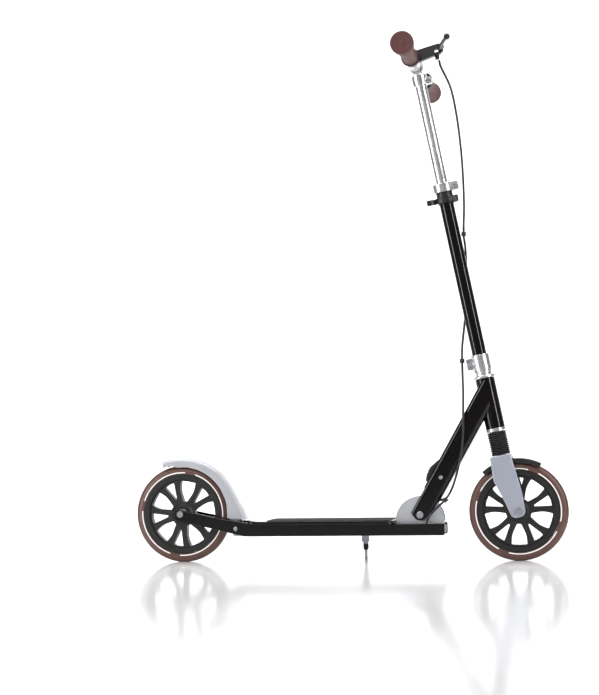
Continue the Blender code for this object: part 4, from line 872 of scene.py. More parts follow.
def make_kickstand():
    x, y, z = KICK_PIVOT
    foot = Vector((0.0268, RAIL_OUTSIDE + 0.0310, 0.0))
    top = RAIL_BOTTOM - GAP
    lug = rounded([(x - 0.008, z - 0.007, 0.004), (x + 0.008, z - 0.007, 0.004),
                   (x + 0.008, top - 0.001, 0.0), (x - 0.008, top - 0.001, 0.0)], 8)
    headed = [(0, -0.0070), (0.0020, -0.0070), (0.0020, 0.0034), (0.0030, 0.0034), (0.0030, 0.0044),
              (0.0024, 0.0050), (0, 0.0050)]
    piece("kickstand_bracket", box((x - 0.012, y - 0.024, top - 0.0025), (x + 0.012, y + 0.006, top)),
          "lacquer", "deck", last_edge=0.0005,
          joins=[(slab(lug, y - 0.0082, y - 0.0058), WORLD),
                 (turned(headed, 40), Matrix.Translation((x, y, z)) @ ACROSS)])
    lean = (foot - Vector((x, y, z))).normalized()
    turn = UP.rotation_difference(lean).to_matrix().to_4x4()
    along = Matrix.Translation((x, y - 0.0030, z)) @ turn
    length = (foot.z - z) / lean.z
    piece("kickstand_leg", slab(disc(x, z, 0.0058), y - 0.0054, y + 0.0030), "zinc", "kickstand",
          edge=0.0006, joins=[(rod(0.0033, 0.003, length + 0.003, segments=48), along)],
          cuts=[(slab(disc(x, z, 0.0024), -0.1, 0.1), WORLD), (box((-1, -1, -0.05), (1, 1, 0)), WORLD)])
    sleeve = [(0.0036, 0.0105), (0.0052, 0.0105), (0.0058, 0.0112)]
    for groove in range(3):
        start = 0.0130 + 0.0036 * groove
        sleeve += [(0.0058, start), (0.0053, start + 0.0005), (0.0053, start + 0.0010),
                   (0.0058, start + 0.0015)]
    sleeve += [(0.0058, 0.0233), (0.0052, 0.0240), (0.0036, 0.0240)]
    piece("kickstand_sleeve", turned(sleeve, 48), "rubber", "kickstand", place=along)


# ---------------------------------------------------------------- rear fender
def make_rear_fender():
    """A pressed arch with rolled shoulders and a crowned middle, its edges turned down into skirts."""
    x, z = REAR_AXLE.x, REAR_AXLE.z
    crown, rim_edge = TYRE_RADIUS + 0.0152, 0.0995
    tops, edges = [], []
    for degrees in (112, 104, 95, 84, 73, 62, 50, 40, 31):
        angle = math.radians(degrees)
        lift = 0.0012 * max(0, degrees - 95) / 17
        edge = rim_edge if degrees < 104 else rim_edge + 0.006
        tops.append((x + (crown + lift) * math.cos(angle), 0, z + (crown + lift) * math.sin(angle)))
        edges.append((x + edge * math.cos(angle), 0, z + edge * math.sin(angle)))
    pivot_x = FENDER_PIVOT.x
    tops += [(pivot_x + 0.0010, 0, z + 0.0245), (pivot_x + 0.0095, 0, z + 0.0075),
             (pivot_x + 0.0170, 0, z - 0.0125)]
    edges += [(x + rim_edge * math.cos(0.26), 0, z + rim_edge * math.sin(0.26)),
              (x + rim_edge - 0.001, 0, z + 0.005), (x + rim_edge - 0.0005, 0, z - 0.0100)]
    half, round_off, wall = 0.0205, 0.006, 0.0020
    bm = bmesh.new()
    rows = []
    for top, edge in zip(smooth(tops, 6), smooth(edges, 6)):
        down = (edge - top).normalized()
        row = [(edge, -half), (edge.lerp(top + down * round_off, 0.5), -half),
               (top + down * round_off, -half)]
        for step in range(1, 7):
            angle = math.pi / 2 * step / 6
            row.append((top + down * round_off * (1 - math.sin(angle) * 1.03),
                        -half + round_off * (1 - math.cos(angle))))
        row += [(top - down * 0.0008, -0.0080), (top - down * 0.0011, -0.0030), (top - down * 0.0012, 0)]
        row += [(spot, -across) for spot, across in reversed(row[:-1])]
        rows.append([bm.verts.new((spot.x, across, spot.z)) for spot, across in row])
    for here, there in zip(rows, rows[1:]):
        for n in range(len(here) - 1):
            bm.faces.new((here[n], here[n + 1], there[n + 1], there[n]))
    made = mesh_object("rear_fender_piece", bm, WORLD)
    middle_face = max(made.data.polygons, key=lambda face: face.center.z)
    if middle_face.normal.z < 0:
        made.data.flip_normals()
    made.data.materials.append(MATERIALS["pressed"])
    thick = made.modifiers.new("wall", "SOLIDIFY")
    thick.thickness = wall
    thick.offset = -1
    thick.use_even_offset = True
    bevel(made, 0.0005, 2, 50)
    settle(made)
    finish(made, "rear_fender", ["rear_fender"])

    x, _, z = FENDER_PIVOT
    reach = REAR_AXLE.z - 0.0035
    arm = rounded([(x - 0.009, z - 0.016, 0.004), (x + 0.007, z - 0.016, 0.004),
                   (x + 0.010, z + 0.002, 0.004), (x - 0.001, reach, 0.003), (x - 0.018, reach, 0.003),
                   (x - 0.010, z + 0.002, 0.004)], 6)
    outer = half - wall - GAP
    inner = outer - 0.0025
    piece("fender_hinge_arms", slab(arm, -outer, -inner), "zinc", "rear_fender",
          joins=[(slab(arm, inner, outer), WORLD),
                 (slab(disc(x, z, 0.0055), -outer + 0.001, outer - 0.001), WORLD),
                 (slab(disc(x - 0.002, z - 0.0115, 0.0025), -outer + 0.001, outer - 0.001), WORLD)],
          cuts=[(slab(disc(x, z, 0.0034), -0.05, 0.05), WORLD)], last_edge=0.0004)
    across = Matrix.Translation(FENDER_PIVOT) @ ACROSS
    bolts("fender_pivot_bolt", "deck", [(0, 0, 0)], across, 0.003, 0.0045, 0.003,
          2 * RAIL_OUTSIDE + 2 * GAP)
    low, high = half + 0.0016, RAIL_OUTSIDE - RAIL_WALL - 0.0016
    spring("fender_spring", "deck", Matrix.Translation(FENDER_PIVOT + Vector((0, low, 0))) @ ACROSS, 2,
           0.0060, high - low, 0.0006)


# ---------------------------------------------------------------- folding neck
def make_neck():
    """A rounded box tube from the fold pin to the head tube, whose lower end is two cheeks."""
    half, wall, low, high = BRACE_DEPTH / 2, 0.0032, -0.016, 0.330
    hollow = rectangle(BRACE_DEPTH - 2 * wall, BRACE_WIDTH - 2 * wall, 0.010 - wall)
    slot = BRACE_WIDTH / 2 - wall
    below = rounded([(-half - 0.01, -0.03, 0), (half + 0.01, -0.03, 0), (half + 0.01, 0.0240, 0),
                     (half, 0.0240, 0.006), (0.0120, -0.0070, 0.010), (-0.0030, -0.0125, 0.008),
                     (-0.0190, -0.0060, 0.006), (-half, 0.0050, 0.004), (-half - 0.01, 0.0050, 0)], 8)
    window_low, window_high, window_half = 0.0660, 0.1180, 0.0108
    window = [(-0.04, window_low), (-0.010, window_low), (-0.010, window_high), (-0.04, window_high)]
    latch_at = 0.0888
    section = rounded([(-half, -BRACE_WIDTH / 2, 0.010), (half, -BRACE_WIDTH / 2, 0.010),
                       (half, BRACE_WIDTH / 2, 0.010), (-half, BRACE_WIDTH / 2, 0.010)], 12)
    piece("neck_brace", plate(section, low, high), "enamel", "neck", place=BRACE,
          cuts=[(plate(hollow, -0.02, high + 0.01), BRACE), (slab(disc(0, 0, 0.057, 96), -slot, slot), BRACE),
                (slab(below, -0.05, 0.05), BRACE), (slab(disc(0, 0, 0.0053), -0.05, 0.05), BRACE),
                (slab(disc(0, latch_at, 0.0033), -0.05, 0.05), BRACE), (rod(0.0203, 0.05, 0.5), STEER),
                (box((0, -0.05, 0.05), (0.2, 0.05, 0.5)), STEER),
                (slab(window, -window_half, window_half), BRACE)],
          last_edge=0.0006)
    across = Matrix.Translation(PIN) @ ACROSS
    bolts("fold_bolt", "neck", [(0, 0, 0)], across, 0.0050, 0.0075, 0.0050, BRACE_WIDTH + 2 * GAP)
    studs = BRACE @ Matrix.Translation((0, 0, latch_at)) @ ACROSS
    bolts("latch_guide_pin", "neck", [(0, 0, 0)], studs, 0.0030, 0.0040, 0.0014, BRACE_WIDTH + 2 * GAP)

    low, high = HEAD_TUBE_LOW, HEAD_TUBE_HIGH
    piece("head_tube", ring(0.0200, 0.0172, low, high, 0.0009), "enamel", "neck", place=STEER)
    notched = ring(0.0206, 0.0144, low - GAP - HEAD_RING_HEIGHT, low - GAP, 0.0005)
    notches = [(box((-0.0012, 0.0192, low - 0.0045), (0.0012, 0.03, low + 0.01)),
                Matrix.Rotation(math.pi * n / 6, 4, "Z")) for n in range(12)]
    piece("head_tube_ring", notched, "polished", "neck", place=STEER, cuts=[(gather(*notches), STEER)])

    rear, middle_at = -half, 0.092
    bore = BRACE @ Matrix.Translation((rear, 0, middle_at)) @ Matrix.Rotation(math.pi / 2, 4, "Y")
    hood = rounded([(rear + 0.0010, window_low + GAP, 0), (rear - 0.0035, window_low + GAP, 0.002),
                    (rear - 0.0080, window_low + 0.014, 0.006), (rear - 0.0080, window_high - 0.020, 0.008),
                    (rear - 0.0015, window_high - GAP, 0.002), (rear + 0.0010, window_high - GAP, 0)], 8)
    foot = box((rear + 0.0005, -0.0105, window_low + GAP), (rear + 0.0060, 0.0105, window_low + 0.006))
    piece("latch_housing", slab(hood, -0.0105, 0.0105), "plastic", "neck", place=BRACE, edge=0.0014,
          joins=[(foot, BRACE)], cuts=[(rod(0.0072, -0.05, 0.05), bore)])
    cap = soft([(0, -0.0110), (0.0050, -0.0106), (0.0068, -0.0090), (0.0068, 0.0040), (0, 0.0040)], 0.0012)
    piece("fold_button", turned(cap, 64), "zinc", "fold_button", place=bore)

    clip_at = Matrix.Translation((0.2060, -0.0262, 0.1270))
    tilt = clip_at @ Matrix.Rotation(math.radians(45), 4, "Y")
    piece("neck_cable_clip", ring(0.0051, 0.0033, -0.004, 0.004, segments=48), "plastic", "neck",
          place=tilt, joins=[(box((-0.0105, -0.0016, -0.002), (-0.0037, 0.0016, 0.0035)), clip_at),
                 (box((0.0037, -0.0012, -0.002), (0.0075, 0.0012, 0.002)), clip_at)])


# ---------------------------------------------------------------- steering column
def make_column():
    low, inside = 0.2819, 0.0135
    nut = soft([(inside, low), (0.0205, low), (0.0232, low + 0.0015), (0.0232, low + 0.0045),
                (0.0200, low + 0.0068), (0.0165, low + 0.0072), (0.0165, low + 0.0130),
                (0.0180, low + 0.0135), (0.0180, low + 0.0165), (inside, low + 0.0165)], 0.0006)
    spanner = plate(rounded([(-0.0022, -0.0011, 0.0011), (0.0022, -0.0011, 0.0011),
                             (0.0022, 0.0011, 0.0011), (-0.0022, 0.0011, 0.0011)], 5), 0.0205, 0.0300)
    holes = []
    for number in range(8):
        turn = Matrix.Rotation(math.pi * number / 4, 4, "Z") @ Matrix.Translation((0, 0, low + 0.0031))
        holes.append((spanner.copy(), turn @ Matrix.Rotation(-math.pi / 2, 4, "X")))
    spanner.free()
    piece("headset_nut", turned(nut), "polished", "column", place=STEER, cuts=[(gather(*holes), STEER)])

    low, high = 0.2989, 0.3320
    collar = soft([(0.0190, low), (0.0190, high), (0.0153, high), (0.0153, low)], 0.0008)
    heights = (0.3100, 0.3225)
    ear = rounded([(-0.0300, 0.3045, 0.003), (-0.0150, 0.3045, 0), (-0.0150, 0.3280, 0),
                   (-0.0300, 0.3280, 0.003)])
    piece("column_clamp", turned(collar), "polished", "column", place=STEER,
          joins=[(slab(ear, -0.0085, 0.0085), STEER)],
          cuts=[(box((-0.05, -0.0010, 0.28), (-0.012, 0.0010, 0.35)), STEER),
                (rod(0.0153, 0.28, 0.35), STEER)]
          + [(slab(disc(-0.0235, height, 0.0023), -0.05, 0.05), STEER) for height in heights],
          last_edge=0.0006)
    bolts("column_clamp_bolts", "column", [(-0.0235, -height, 0) for height in heights], STEER @ ACROSS,
          0.0020, 0.0038, 0.0030, 0.0176)
    piece("column_tube", ring(COLUMN_RADIUS, 0.0135, 0.2995, 0.6560, 0.0006), "enamel", "column",
          place=STEER)

    low, high = 0.6810, 0.6990
    collar = soft([(0.0210, low), (0.0210, high), (0.0168, high), (0.0168, low)], 0.0010)
    ear = rounded([(0.0170, low, 0), (0.0330, low, 0.004), (0.0330, high, 0.004), (0.0170, high, 0)])
    piece("height_collar", turned(collar), "polished", "column", place=STEER,
          joins=[(slab(ear, -0.0100, 0.0100), STEER)],
          cuts=[(box((0.012, -0.0010, low - 0.01), (0.05, 0.0010, high + 0.01)), STEER),
                (slab(disc(0.0262, low + 0.009, 0.0023), -0.05, 0.05), STEER)], last_edge=0.0008)
    bolts("height_collar_bolt", "column", [(0.0262, -low - 0.009, 0)], STEER @ ACROSS, 0.0020, 0.0038,
          0.0030, 0.0206)

    pivot_x, pivot_y = HEIGHT_PIVOT.x, HEIGHT_PIVOT.y
    bush = soft([(0.0124, 0.6563), (0.0172, 0.6563), (0.0172, low - 0.0012), (0.0160, low - 0.0006),
                 (0.0160, high + 0.0012), (0.0124, high + 0.0012)], 0.0004)
    post = STEER @ Matrix.Translation((pivot_x, pivot_y, 0))
    piece("column_bush", turned(bush), "plastic", "column", place=STEER,
          joins=[(box((0.0145, -0.0070, 0.6565), (0.0230, 0.0030, 0.6581)), STEER),
                 (rod(0.0022, 0.6570, 0.6710, 0.0004, 32), post),
                 (rod(0.0048, 0.6567, 0.6580, segments=48), post)])
    for name, spot in (("column_cable_clip", (0.2545, 0.0, 0.6800)),
                       ("clamp_cable_clip", (0.2455, 0.0, 0.4147))):
        local = STEER.inverted() @ Vector(spot)
        upright = STEER @ Matrix.Translation(local) @ Matrix.Rotation(HEAD_ANGLE, 4, "Y")
        piece(name, ring(0.0050, 0.0033, -0.0045, 0.0045, 0.0006, 48), "plastic", "column", place=upright)


def make_height_lever():
    """A curved thumb lever round the column's right side, with a raised grip at its tip."""
    inner, outer = 0.0182, 0.0222
    path = arc(1.0, math.radians(-42), math.radians(-158), 28)
    pivot_x, pivot_y = HEIGHT_PIVOT.x, HEIGHT_PIVOT.y
    outline = [(inner * x, inner * y) for x, y in path]
    outline += [(-0.0390, -0.0120), (-0.0395, -0.0160), (-0.0300, -0.0150)]
    outline += [(outer * x, outer * y) for x, y in reversed(path)]
    outline += [(pivot_x + 0.0042, pivot_y - 0.0030), (pivot_x + 0.0048, pivot_y + 0.0020),
                (pivot_x + 0.0020, pivot_y + 0.0046), (pivot_x - 0.0030, pivot_y + 0.0044)]
    piece("height_lever", plate(soft(outline, 0.0016, 4), 0.6585, 0.6700), "plastic", "height_lever",
          place=STEER, edge=0.0008,
          cuts=[(rod(0.0026, 0.65, 0.68, segments=40), STEER @ Matrix.Translation((pivot_x, pivot_y, 0)))])


# ---------------------------------------------------------------- fork
def shorten(made):
    """Give the piece a mesh of its own; its shape is not changed."""
    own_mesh(made)


def make_fork():
    rake, end = (STEER.inverted() @ FRONT_AXLE).x, 0.0135
    crown_high, crown_low = 0.1196, 0.1100
    leg = rounded([(-0.0226, crown_high, 0.002), (-0.0253, 0.0705, 0.010), (-0.0149, 0.0364, 0.02),
                   (rake - end - 0.0005, -end * 0.9, 0.0115), (rake + end + 0.0015, -end * 0.9, 0.0125),
                   (0.0267, 0.0438, 0.03), (0.0204, crown_high, 0.002)], 12)
    inside = FORK_OUTSIDE - FORK_LEG
    between = rounded([(-inside, -0.1, 0), (inside, -0.1, 0), (inside, crown_low, 0.008),
                       (-inside, crown_low, 0.008)], 8)
    piece("fork", slab(leg, -FORK_OUTSIDE, FORK_OUTSIDE), "lacquer", "fork", place=STEER, edge=0.0022,
          cuts=[(slab(between, -0.1, 0.1), STEER @ Matrix.Rotation(math.pi / 2, 4, "Z")),
                (slab(disc(rake, 0, 0.0043), -0.1, 0.1), STEER), (rod(0.0098, 0.09, 0.13), STEER)])

    top, skirt, wall, half = 0.1090, 0.0985, 0.0025, 0.018
    start, finish_at, spare = math.radians(63.5), math.radians(132), 0.05
    shell = arc(top, start, finish_at, 60) + arc(skirt, finish_at, start, 60)
    first, last = start - spare, finish_at + spare
    room = arc(top - wall, first, last, 60) + arc(0.09, last, first, 60)
    hub = Matrix.Translation(FRONT_AXLE)
    piece("front_fender", slab(shell, -half, half), "plastic", "fork", place=hub, edge=0.0020,
          cuts=[(slab(room, -half + 0.0018, half - 0.0018), hub)])

    mesh = bpy.data.meshes.new("fork_bellows_piece")
    made = bpy.data.objects.new(mesh.name, mesh)
    bpy.context.scene.collection.objects.link(made)
    low, high = crown_high + 0.0006, HEAD_TUBE_LOW - HEAD_RING_HEIGHT - 0.0014
    made = run_tree(made, TREES["bellows"], Ribs=bpy.context.scene.scooter_sizes.bellows_ribs, Low=low,
                    High=high, Radius=0.0205, Depth=0.0032, Material=MATERIALS["rubber"])
    made.data.transform(STEER)
    finish(made, "fork", ["fork_bellows"], 60)
    shorten(made)

    wire, seat = 0.0014, 0.1650
    coil = spring("fork_spring", "fork", STEER @ Matrix.Translation((0, 0, low + wire)), 5, 0.0126,
                  seat - low - 2 * wire, wire)
    shorten(coil)


# ---------------------------------------------------------------- handlebar
def make_handlebar():
    tube_high = HANDLEBAR_AT - 0.0162 - GAP
    pop = Matrix.Translation((-INNER_RADIUS, 0, 0.9005)) @ Matrix.Rotation(math.pi / 2, 4, "Y")
    dome = soft([(0, -0.0022), (0.0026, -0.0012), (0.0030, 0.0010), (0, 0.0010)], 0.0008)
    piece("inner_tube", ring(INNER_RADIUS, 0.0104, 0.6000, tube_high, 0.0003), "polished", "handlebar",
          place=STEER, joins=[(turned(dome, 32), STEER @ pop)])
    socket_low, ceiling = HANDLEBAR_AT - 0.036, tube_high + GAP
    socket = soft([(0.0123, socket_low), (0.0158, socket_low), (0.0158, ceiling + 0.0018),
                   (0, ceiling + 0.0018), (0, ceiling), (0.0123, ceiling)], 0.0005)
    lug = rounded([(0.0135, socket_low + 0.0005, 0), (0.0250, socket_low + 0.0005, 0.003),
                   (0.0250, socket_low + 0.0140, 0.003), (0.0135, socket_low + 0.0140, 0)])
    piece("t_clamp", ring(0.0162, BAR_RADIUS + GAP, -0.030, 0.030, 0.0010), "polished", "handlebar",
          place=AT_BAR, joins=[(turned(socket), STEER), (slab(lug, -0.0070, 0.0070), STEER)],
          cuts=[(slab(disc(0.0195, socket_low + 0.007, 0.0023), -0.05, 0.05), STEER),
                (box((0.0160, -0.0007, socket_low - 0.01), (0.0300, 0.0007, socket_low + 0.02)), STEER)],
          last_edge=0.0005)
    bolts("t_clamp_bolt", "handlebar", [(0.0195, -socket_low - 0.007, 0)], STEER @ ACROSS, 0.0020, 0.0036,
          0.0028, 0.0146)
    tube_half = BAR_HALF - 0.004
    piece("handlebar_tube", ring(BAR_RADIUS, BAR_RADIUS - 0.0015, -tube_half, tube_half, 0.0004),
          "polished", "handlebar", place=AT_BAR)


def make_grips():
    """Moulded grips: a waist, a long swell, a flared end, and shallow rings round the palm."""
    length, waist, flare, bore = 0.140, 0.0160, 0.0235, BAR_RADIUS + GAP
    for side, way in (("right", -1), ("left", 1)):
        start = BAR_HALF - length
        swell = smooth([(waist + 0.0008, 0, start + 0.0015), (waist, 0, start + 0.012),
                        (waist + 0.0004, 0, start + 0.055), (waist + 0.0022, 0, start + 0.085),
                        (waist + 0.0052, 0, start + 0.112), (flare - 0.0016, 0, BAR_HALF - 0.014)], 14)
        outline = [(bore, start), (waist + 0.0004, start)]
        for number, spot in enumerate(swell):
            dip = 0.00045 if number % 4 in (1, 2) and number > 6 else 0
            outline.append((spot.x - dip, spot.z))
        end = [(flare - 0.0012, 0.0125), (flare - 0.0012, 0.0115), (flare, 0.0105), (flare, 0.0030),
               (flare - 0.0014, 0.0006), (flare - 0.0032, 0.0006), (flare - 0.0048, 0.0022),
               (0.0072, 0.0026), (0.0060, 0.0010), (0, 0)]
        outline += soft([(radius, BAR_HALF - inwards) for radius, inwards in end], 0.0012, 5, closed=False)
        outline += [(0, BAR_HALF - 0.0040), (bore, BAR_HALF - 0.0040)]
        grip = turned(outline)
        bmesh.ops.scale(grip, verts=grip.verts, vec=(1, 1, way))
        piece(f"{side}_grip", grip, "grip", "handlebar", place=AT_BAR)
        band = soft([(bore, start - 0.005), (0.0190, start - 0.005), (0.0190, start - GAP),
                     (bore, start - GAP)], 0.0012)
        collar = turned(band)
        bmesh.ops.scale(collar, verts=collar.verts, vec=(1, 1, way))
        piece(f"{side}_grip_collar", collar, "plastic", "handlebar", nodes=[], place=AT_BAR)


def make_brake():
    tipped = Matrix.Rotation(math.radians(-3), 4, "Y")
    perch = STEER @ Matrix.Translation((0, -0.108, HANDLEBAR_AT)) @ tipped @ ACROSS
    flat = perch @ ACROSS.inverted()
    arm = rounded([(0.0060, -0.0120, 0.004), (0.0600, -0.0075, 0.004), (0.0700, -0.0020, 0.004),
                   (0.0720, 0.0080, 0.004), (0.0620, 0.0130, 0.004), (0.0080, 0.0125, 0.004)], 8)
    barrel = flat @ Matrix.Translation((0.0540, 0.0020, 0)) @ Matrix.Rotation(math.radians(10), 4, "Y")
    knurled = []
    for number in range(6):
        step = -0.0165 + 0.0016 * number
        knurled += [(0.0045, step), (0.0045, step + 0.0010), (0.0041, step + 0.0012),
                    (0.0041, step + 0.0015)]
    slot = [(0.0500, -0.0032), (0.0820, -0.0032), (0.0820, 0.0032), (0.0500, 0.0032)]
    pin = flat @ Matrix.Translation((LEVER_REACH, 0, 0))
    barrel_outline = [(0, -0.0165)] + knurled + [(0.0045, -0.0068), (0.0045, -0.0060), (0, -0.0060)]
    piece("brake_perch", ring(0.0155, BAR_RADIUS + GAP, -0.0100, 0.0100, 0.0010), "plastic", "handlebar",
          place=perch,
          joins=[(slab(arm, -0.0085, 0.0060), flat), (rod(0.0024, -0.0050, 0.0120, 0.0004, 32), pin),
                 (turned(barrel_outline, 48), barrel)],
          cuts=[(rod(BAR_RADIUS + GAP, -0.05, 0.05), perch), (slab(slot, -0.02, 0.02), flat)],
          last_edge=0.0006)
    edge = rounded([(-0.0055, 0.0020, 0.002), (-0.0040, -0.0150, 0.01), (0.0020, -0.0400, 0.03),
                    (0.0080, -0.0640, 0.03), (0.0165, -0.0870, 0.0), (0.0235, -0.0870, 0.0),
                    (0.0150, -0.0640, 0.03), (0.0090, -0.0400, 0.03), (0.0070, -0.0120, 0.01),
                    (0.0060, 0.0020, 0.002), (0, 0.0060, 0.002)], 6)
    ball = [(0.0065 * math.sin(math.pi * n / 20), -0.0065 * math.cos(math.pi * n / 20)) for n in range(21)]
    ball[0], ball[-1] = (0, -0.0065), (0, 0.0065)
    piece("brake_lever", plate([(LEVER_REACH + x, y) for x, y in edge], -0.0025, 0.0025), "plastic",
          "brake_lever", place=flat, edge=0.0009,
          joins=[(turned(ball, 48), flat @ Matrix.Translation((LEVER_REACH + 0.0225, -0.0900, 0.0015)))],
          cuts=[(rod(0.0028, -0.02, 0.02, segments=40), pin)])


# ---------------------------------------------------------------- cables
CABLES = {
    "brake_cable_upper": [
        (0.2213, -0.1060, 1.0265), (0.2250, -0.1050, 1.0120), (0.2420, -0.0900, 0.9720),
        (0.2510, -0.0700, 0.9200), (0.2560, -0.0480, 0.8600), (0.2580, -0.0280, 0.8000),
        (0.2575, -0.0120, 0.7400), (0.2550, -0.0020, 0.7000), (0.2545, 0.0, 0.6850)],
    "brake_cable_column": [
        (0.2545, 0.0, 0.6840), (0.2545, 0.0, 0.6750), (0.2570, 0.0060, 0.6500), (0.2570, 0.0150, 0.6150),
        (0.2560, 0.0210, 0.5700), (0.2540, 0.0210, 0.5300), (0.2500, 0.0130, 0.4850),
        (0.2460, 0.0030, 0.4450), (0.2455, 0.0, 0.4190), (0.2455, 0.0, 0.4100), (0.2460, -0.0030, 0.3850),
        (0.2475, -0.0150, 0.3450), (0.2475, -0.0250, 0.3100), (0.2475, -0.0270, 0.2920)],
    "brake_cable_neck": [
        (0.2475, -0.0270, 0.2915), (0.2470, -0.0270, 0.2700), (0.2440, -0.0270, 0.2350),
        (0.2370, -0.0268, 0.2020), (0.2290, -0.0265, 0.1720), (0.2190, -0.0263, 0.1460),
        (0.2060, -0.0262, 0.1270), (0.1900, -0.0262, 0.1120), (0.1775, -0.0258, 0.1000),
        (0.1705, -0.0238, 0.0910), (0.1672, -0.0215, 0.0843)],
    "brake_cable_deck": [
        (0.1668, -0.0214, 0.0822), (0.1660, -0.0212, 0.0750), (0.1640, -0.0205, 0.0690),
        (0.1560, -0.0170, 0.0640), (0.1400, -0.0100, 0.0640), (0.1000, -0.0040, 0.0650), (0.0, 0.0, 0.0650),
        (-0.1000, 0.0, 0.0650), (-0.1900, 0.0, 0.0640), (-0.2150, 0.0, 0.0610), (-0.2320, 0.0, 0.0592)],
}


def make_cables():
    upper, column, neck, deck = CABLES.values()
    cord("brake_cable_upper", upper, ("handlebar", "column"))
    cord("brake_cable_column", column, ("column", "neck"))
    cord("brake_cable_neck", neck, ("neck", "deck"))
    cord("brake_cable_deck", deck, ("deck",))


CARRIED_OVER = {
    "enamel": ["deck_beam"], "plastic": ["front_end_cap"],
    "zinc": ["headset_bearings", "latch_bolt", "steerer_tube", "suspension_post"],
}


def dress_carried_over():
    """The plain pieces that come from the frame unchanged take a finish of their own."""
    for material, names in CARRIED_OVER.items():
        for name in names:
            node = frame["nodes"][name]
            node.data.materials.clear()
            node.data.materials.append(MATERIALS[material])


# ---------------------------------------------------------------- stage
def add_light(name, size, size_y, place, aim, power):
    lamp = bpy.data.lights.new(name, "AREA")
    lamp.shape = "RECTANGLE"
    lamp.size, lamp.size_y, lamp.energy = size, size_y, power
    made = bpy.data.objects.new(name, lamp)
    made.location = place
    made.rotation_euler = (Vector(aim) - Vector(place)).to_track_quat("-Z", "Y").to_euler()
    bpy.context.scene.collection.objects.link(made)


def studio_floor():
    """Matt white studio vinyl with a faint sheen that lays a soft grey reflection under the wheels."""
    made, tree, shader, spots = start_material("studio_vinyl")
    tinted(tree, spots, shader, "studio", 0.4, 0.985, 1.0)
    roughened(tree, spots, shader, 0.3, 0.10, 0.14)
    return made


def make_stage():
    side = bpy.context.scene.scooter_sizes.floor_size
    depth, height, bend = side / 2, side * 0.4, 2.0
    profile = [(-side / 2, 0.0), (depth - bend, 0.0)]
    for step in range(1, 25):
        angle = math.pi / 2 * step / 24
        profile.append((depth - bend + bend * math.sin(angle), bend * (1 - math.cos(angle))))
    profile.append((depth, height))
    bm = bmesh.new()
    rows = [[bm.verts.new((x, y, z)) for x in (-side, side)] for y, z in profile]
    for here, there in zip(rows, rows[1:]):
        bm.faces.new((here[0], here[1], there[1], there[0]))
    floor = mesh_object("studio_floor", bm, WORLD)
    if floor.data.polygons[0].normal.z < 0:
        floor.data.flip_normals()
    floor.data.shade_smooth()
    floor.data.materials.append(studio_floor())

    world = bpy.data.worlds.new("studio")
    world.use_nodes = True
    world.node_tree.nodes["Background"].inputs["Color"].default_value = (1.0, 1.0, 1.0, 1)
    seen = add_node(world.node_tree, "ShaderNodeLightPath").outputs["Is Camera Ray"]
    world.node_tree.links.new(maths(world.node_tree, "MULTIPLY_ADD", seen, 0.75, 0.20),
                              world.node_tree.nodes["Background"].inputs["Strength"])
    bpy.context.scene.world = world
    bpy.context.scene.view_settings.view_transform = "Standard"
    add_light("overhead", 4.0, 3.0, (0.0, 0.6, 3.6), (0, 1.4, 0.0), 150)
    add_light("backdrop_left", 3.0, 3.0, (-3.5, 3.4, 2.6), (-1.0, 8.0, 1.4), 300)
    add_light("backdrop_right", 3.0, 3.0, (3.5, 3.4, 2.6), (1.0, 8.0, 1.4), 300)
    add_light("left_strip", 0.40, 2.6, (-2.3, -1.7, 1.2), (0, 0, 0.5), 60)
    add_light("right_strip", 0.22, 2.6, (2.4, -1.3, 1.2), (0.2, 0, 0.5), 44)
    add_light("front_fill", 1.0, 0.8, (-0.9, -4.0, 3.0), (0, 0, 0.4), 50)

    azimuth, elevation, roll, distance = math.radians(10.49), math.radians(-2.67), math.radians(-1.0), 3.6706
    target = Vector((-0.0988, 0, 0.4515))
    back = Vector((math.sin(azimuth) * math.cos(elevation), -math.cos(azimuth) * math.cos(elevation),
                   math.sin(elevation)))
    right = Vector((0, 0, 1)).cross(back).normalized()
    up = back.cross(right)
    right, up = right * math.cos(roll) + up * math.sin(roll), up * math.cos(roll) - right * math.sin(roll)
    lens = bpy.data.cameras.new("studio_camera")
    lens.sensor_width = 36
    lens.lens = 89.6
    camera = bpy.data.objects.new("studio_camera", lens)
    camera.matrix_world = Matrix.Translation(target + back * distance) @ Matrix((right, up,
                                                                                 back)).transposed().to_4x4()
    bpy.context.scene.collection.objects.link(camera)
    bpy.context.scene.camera = camera


# ---------------------------------------------------------------- operators and panel
class MakeFinishes(bpy.types.Operator):
    """Make the materials and the node trees that the pieces share"""
    bl_idname = "scooter.finishes"
    bl_label = "Finishes"

    def execute(self, context):
        make_materials()
        make_trees()
        return {"FINISHED"}


class MakeWheels(bpy.types.Operator):
    """Cast tyres on moulded cores, their bearings and their axles"""
    bl_idname = "scooter.wheels"
    bl_label = "Wheels"

    def execute(self, context):
        make_wheels()
        return {"FINISHED"}


class MakeDeck(bpy.types.Operator):
    """Side rails, foot board, grip tape and fold bracket"""
    bl_idname = "scooter.deck"
    bl_label = "Deck"

    def execute(self, context):
        make_deck()
        return {"FINISHED"}


class MakeKickstand(bpy.types.Operator):
    """The kickstand's bracket, leg and sleeve"""
    bl_idname = "scooter.kickstand"
    bl_label = "Kickstand"

    def execute(self, context):
        make_kickstand()
        return {"FINISHED"}


class MakeRearFender(bpy.types.Operator):
    """The pressed rear fender, its hinge and its spring"""
    bl_idname = "scooter.rear_fender"
    bl_label = "Rear Fender"

    def execute(self, context):
        make_rear_fender()
        return {"FINISHED"}


class MakeNeck(bpy.types.Operator):
    """The folding neck, its head tube and its latch"""
    bl_idname = "scooter.neck"
    bl_label = "Neck"

    def execute(self, context):
        make_neck()
        return {"FINISHED"}


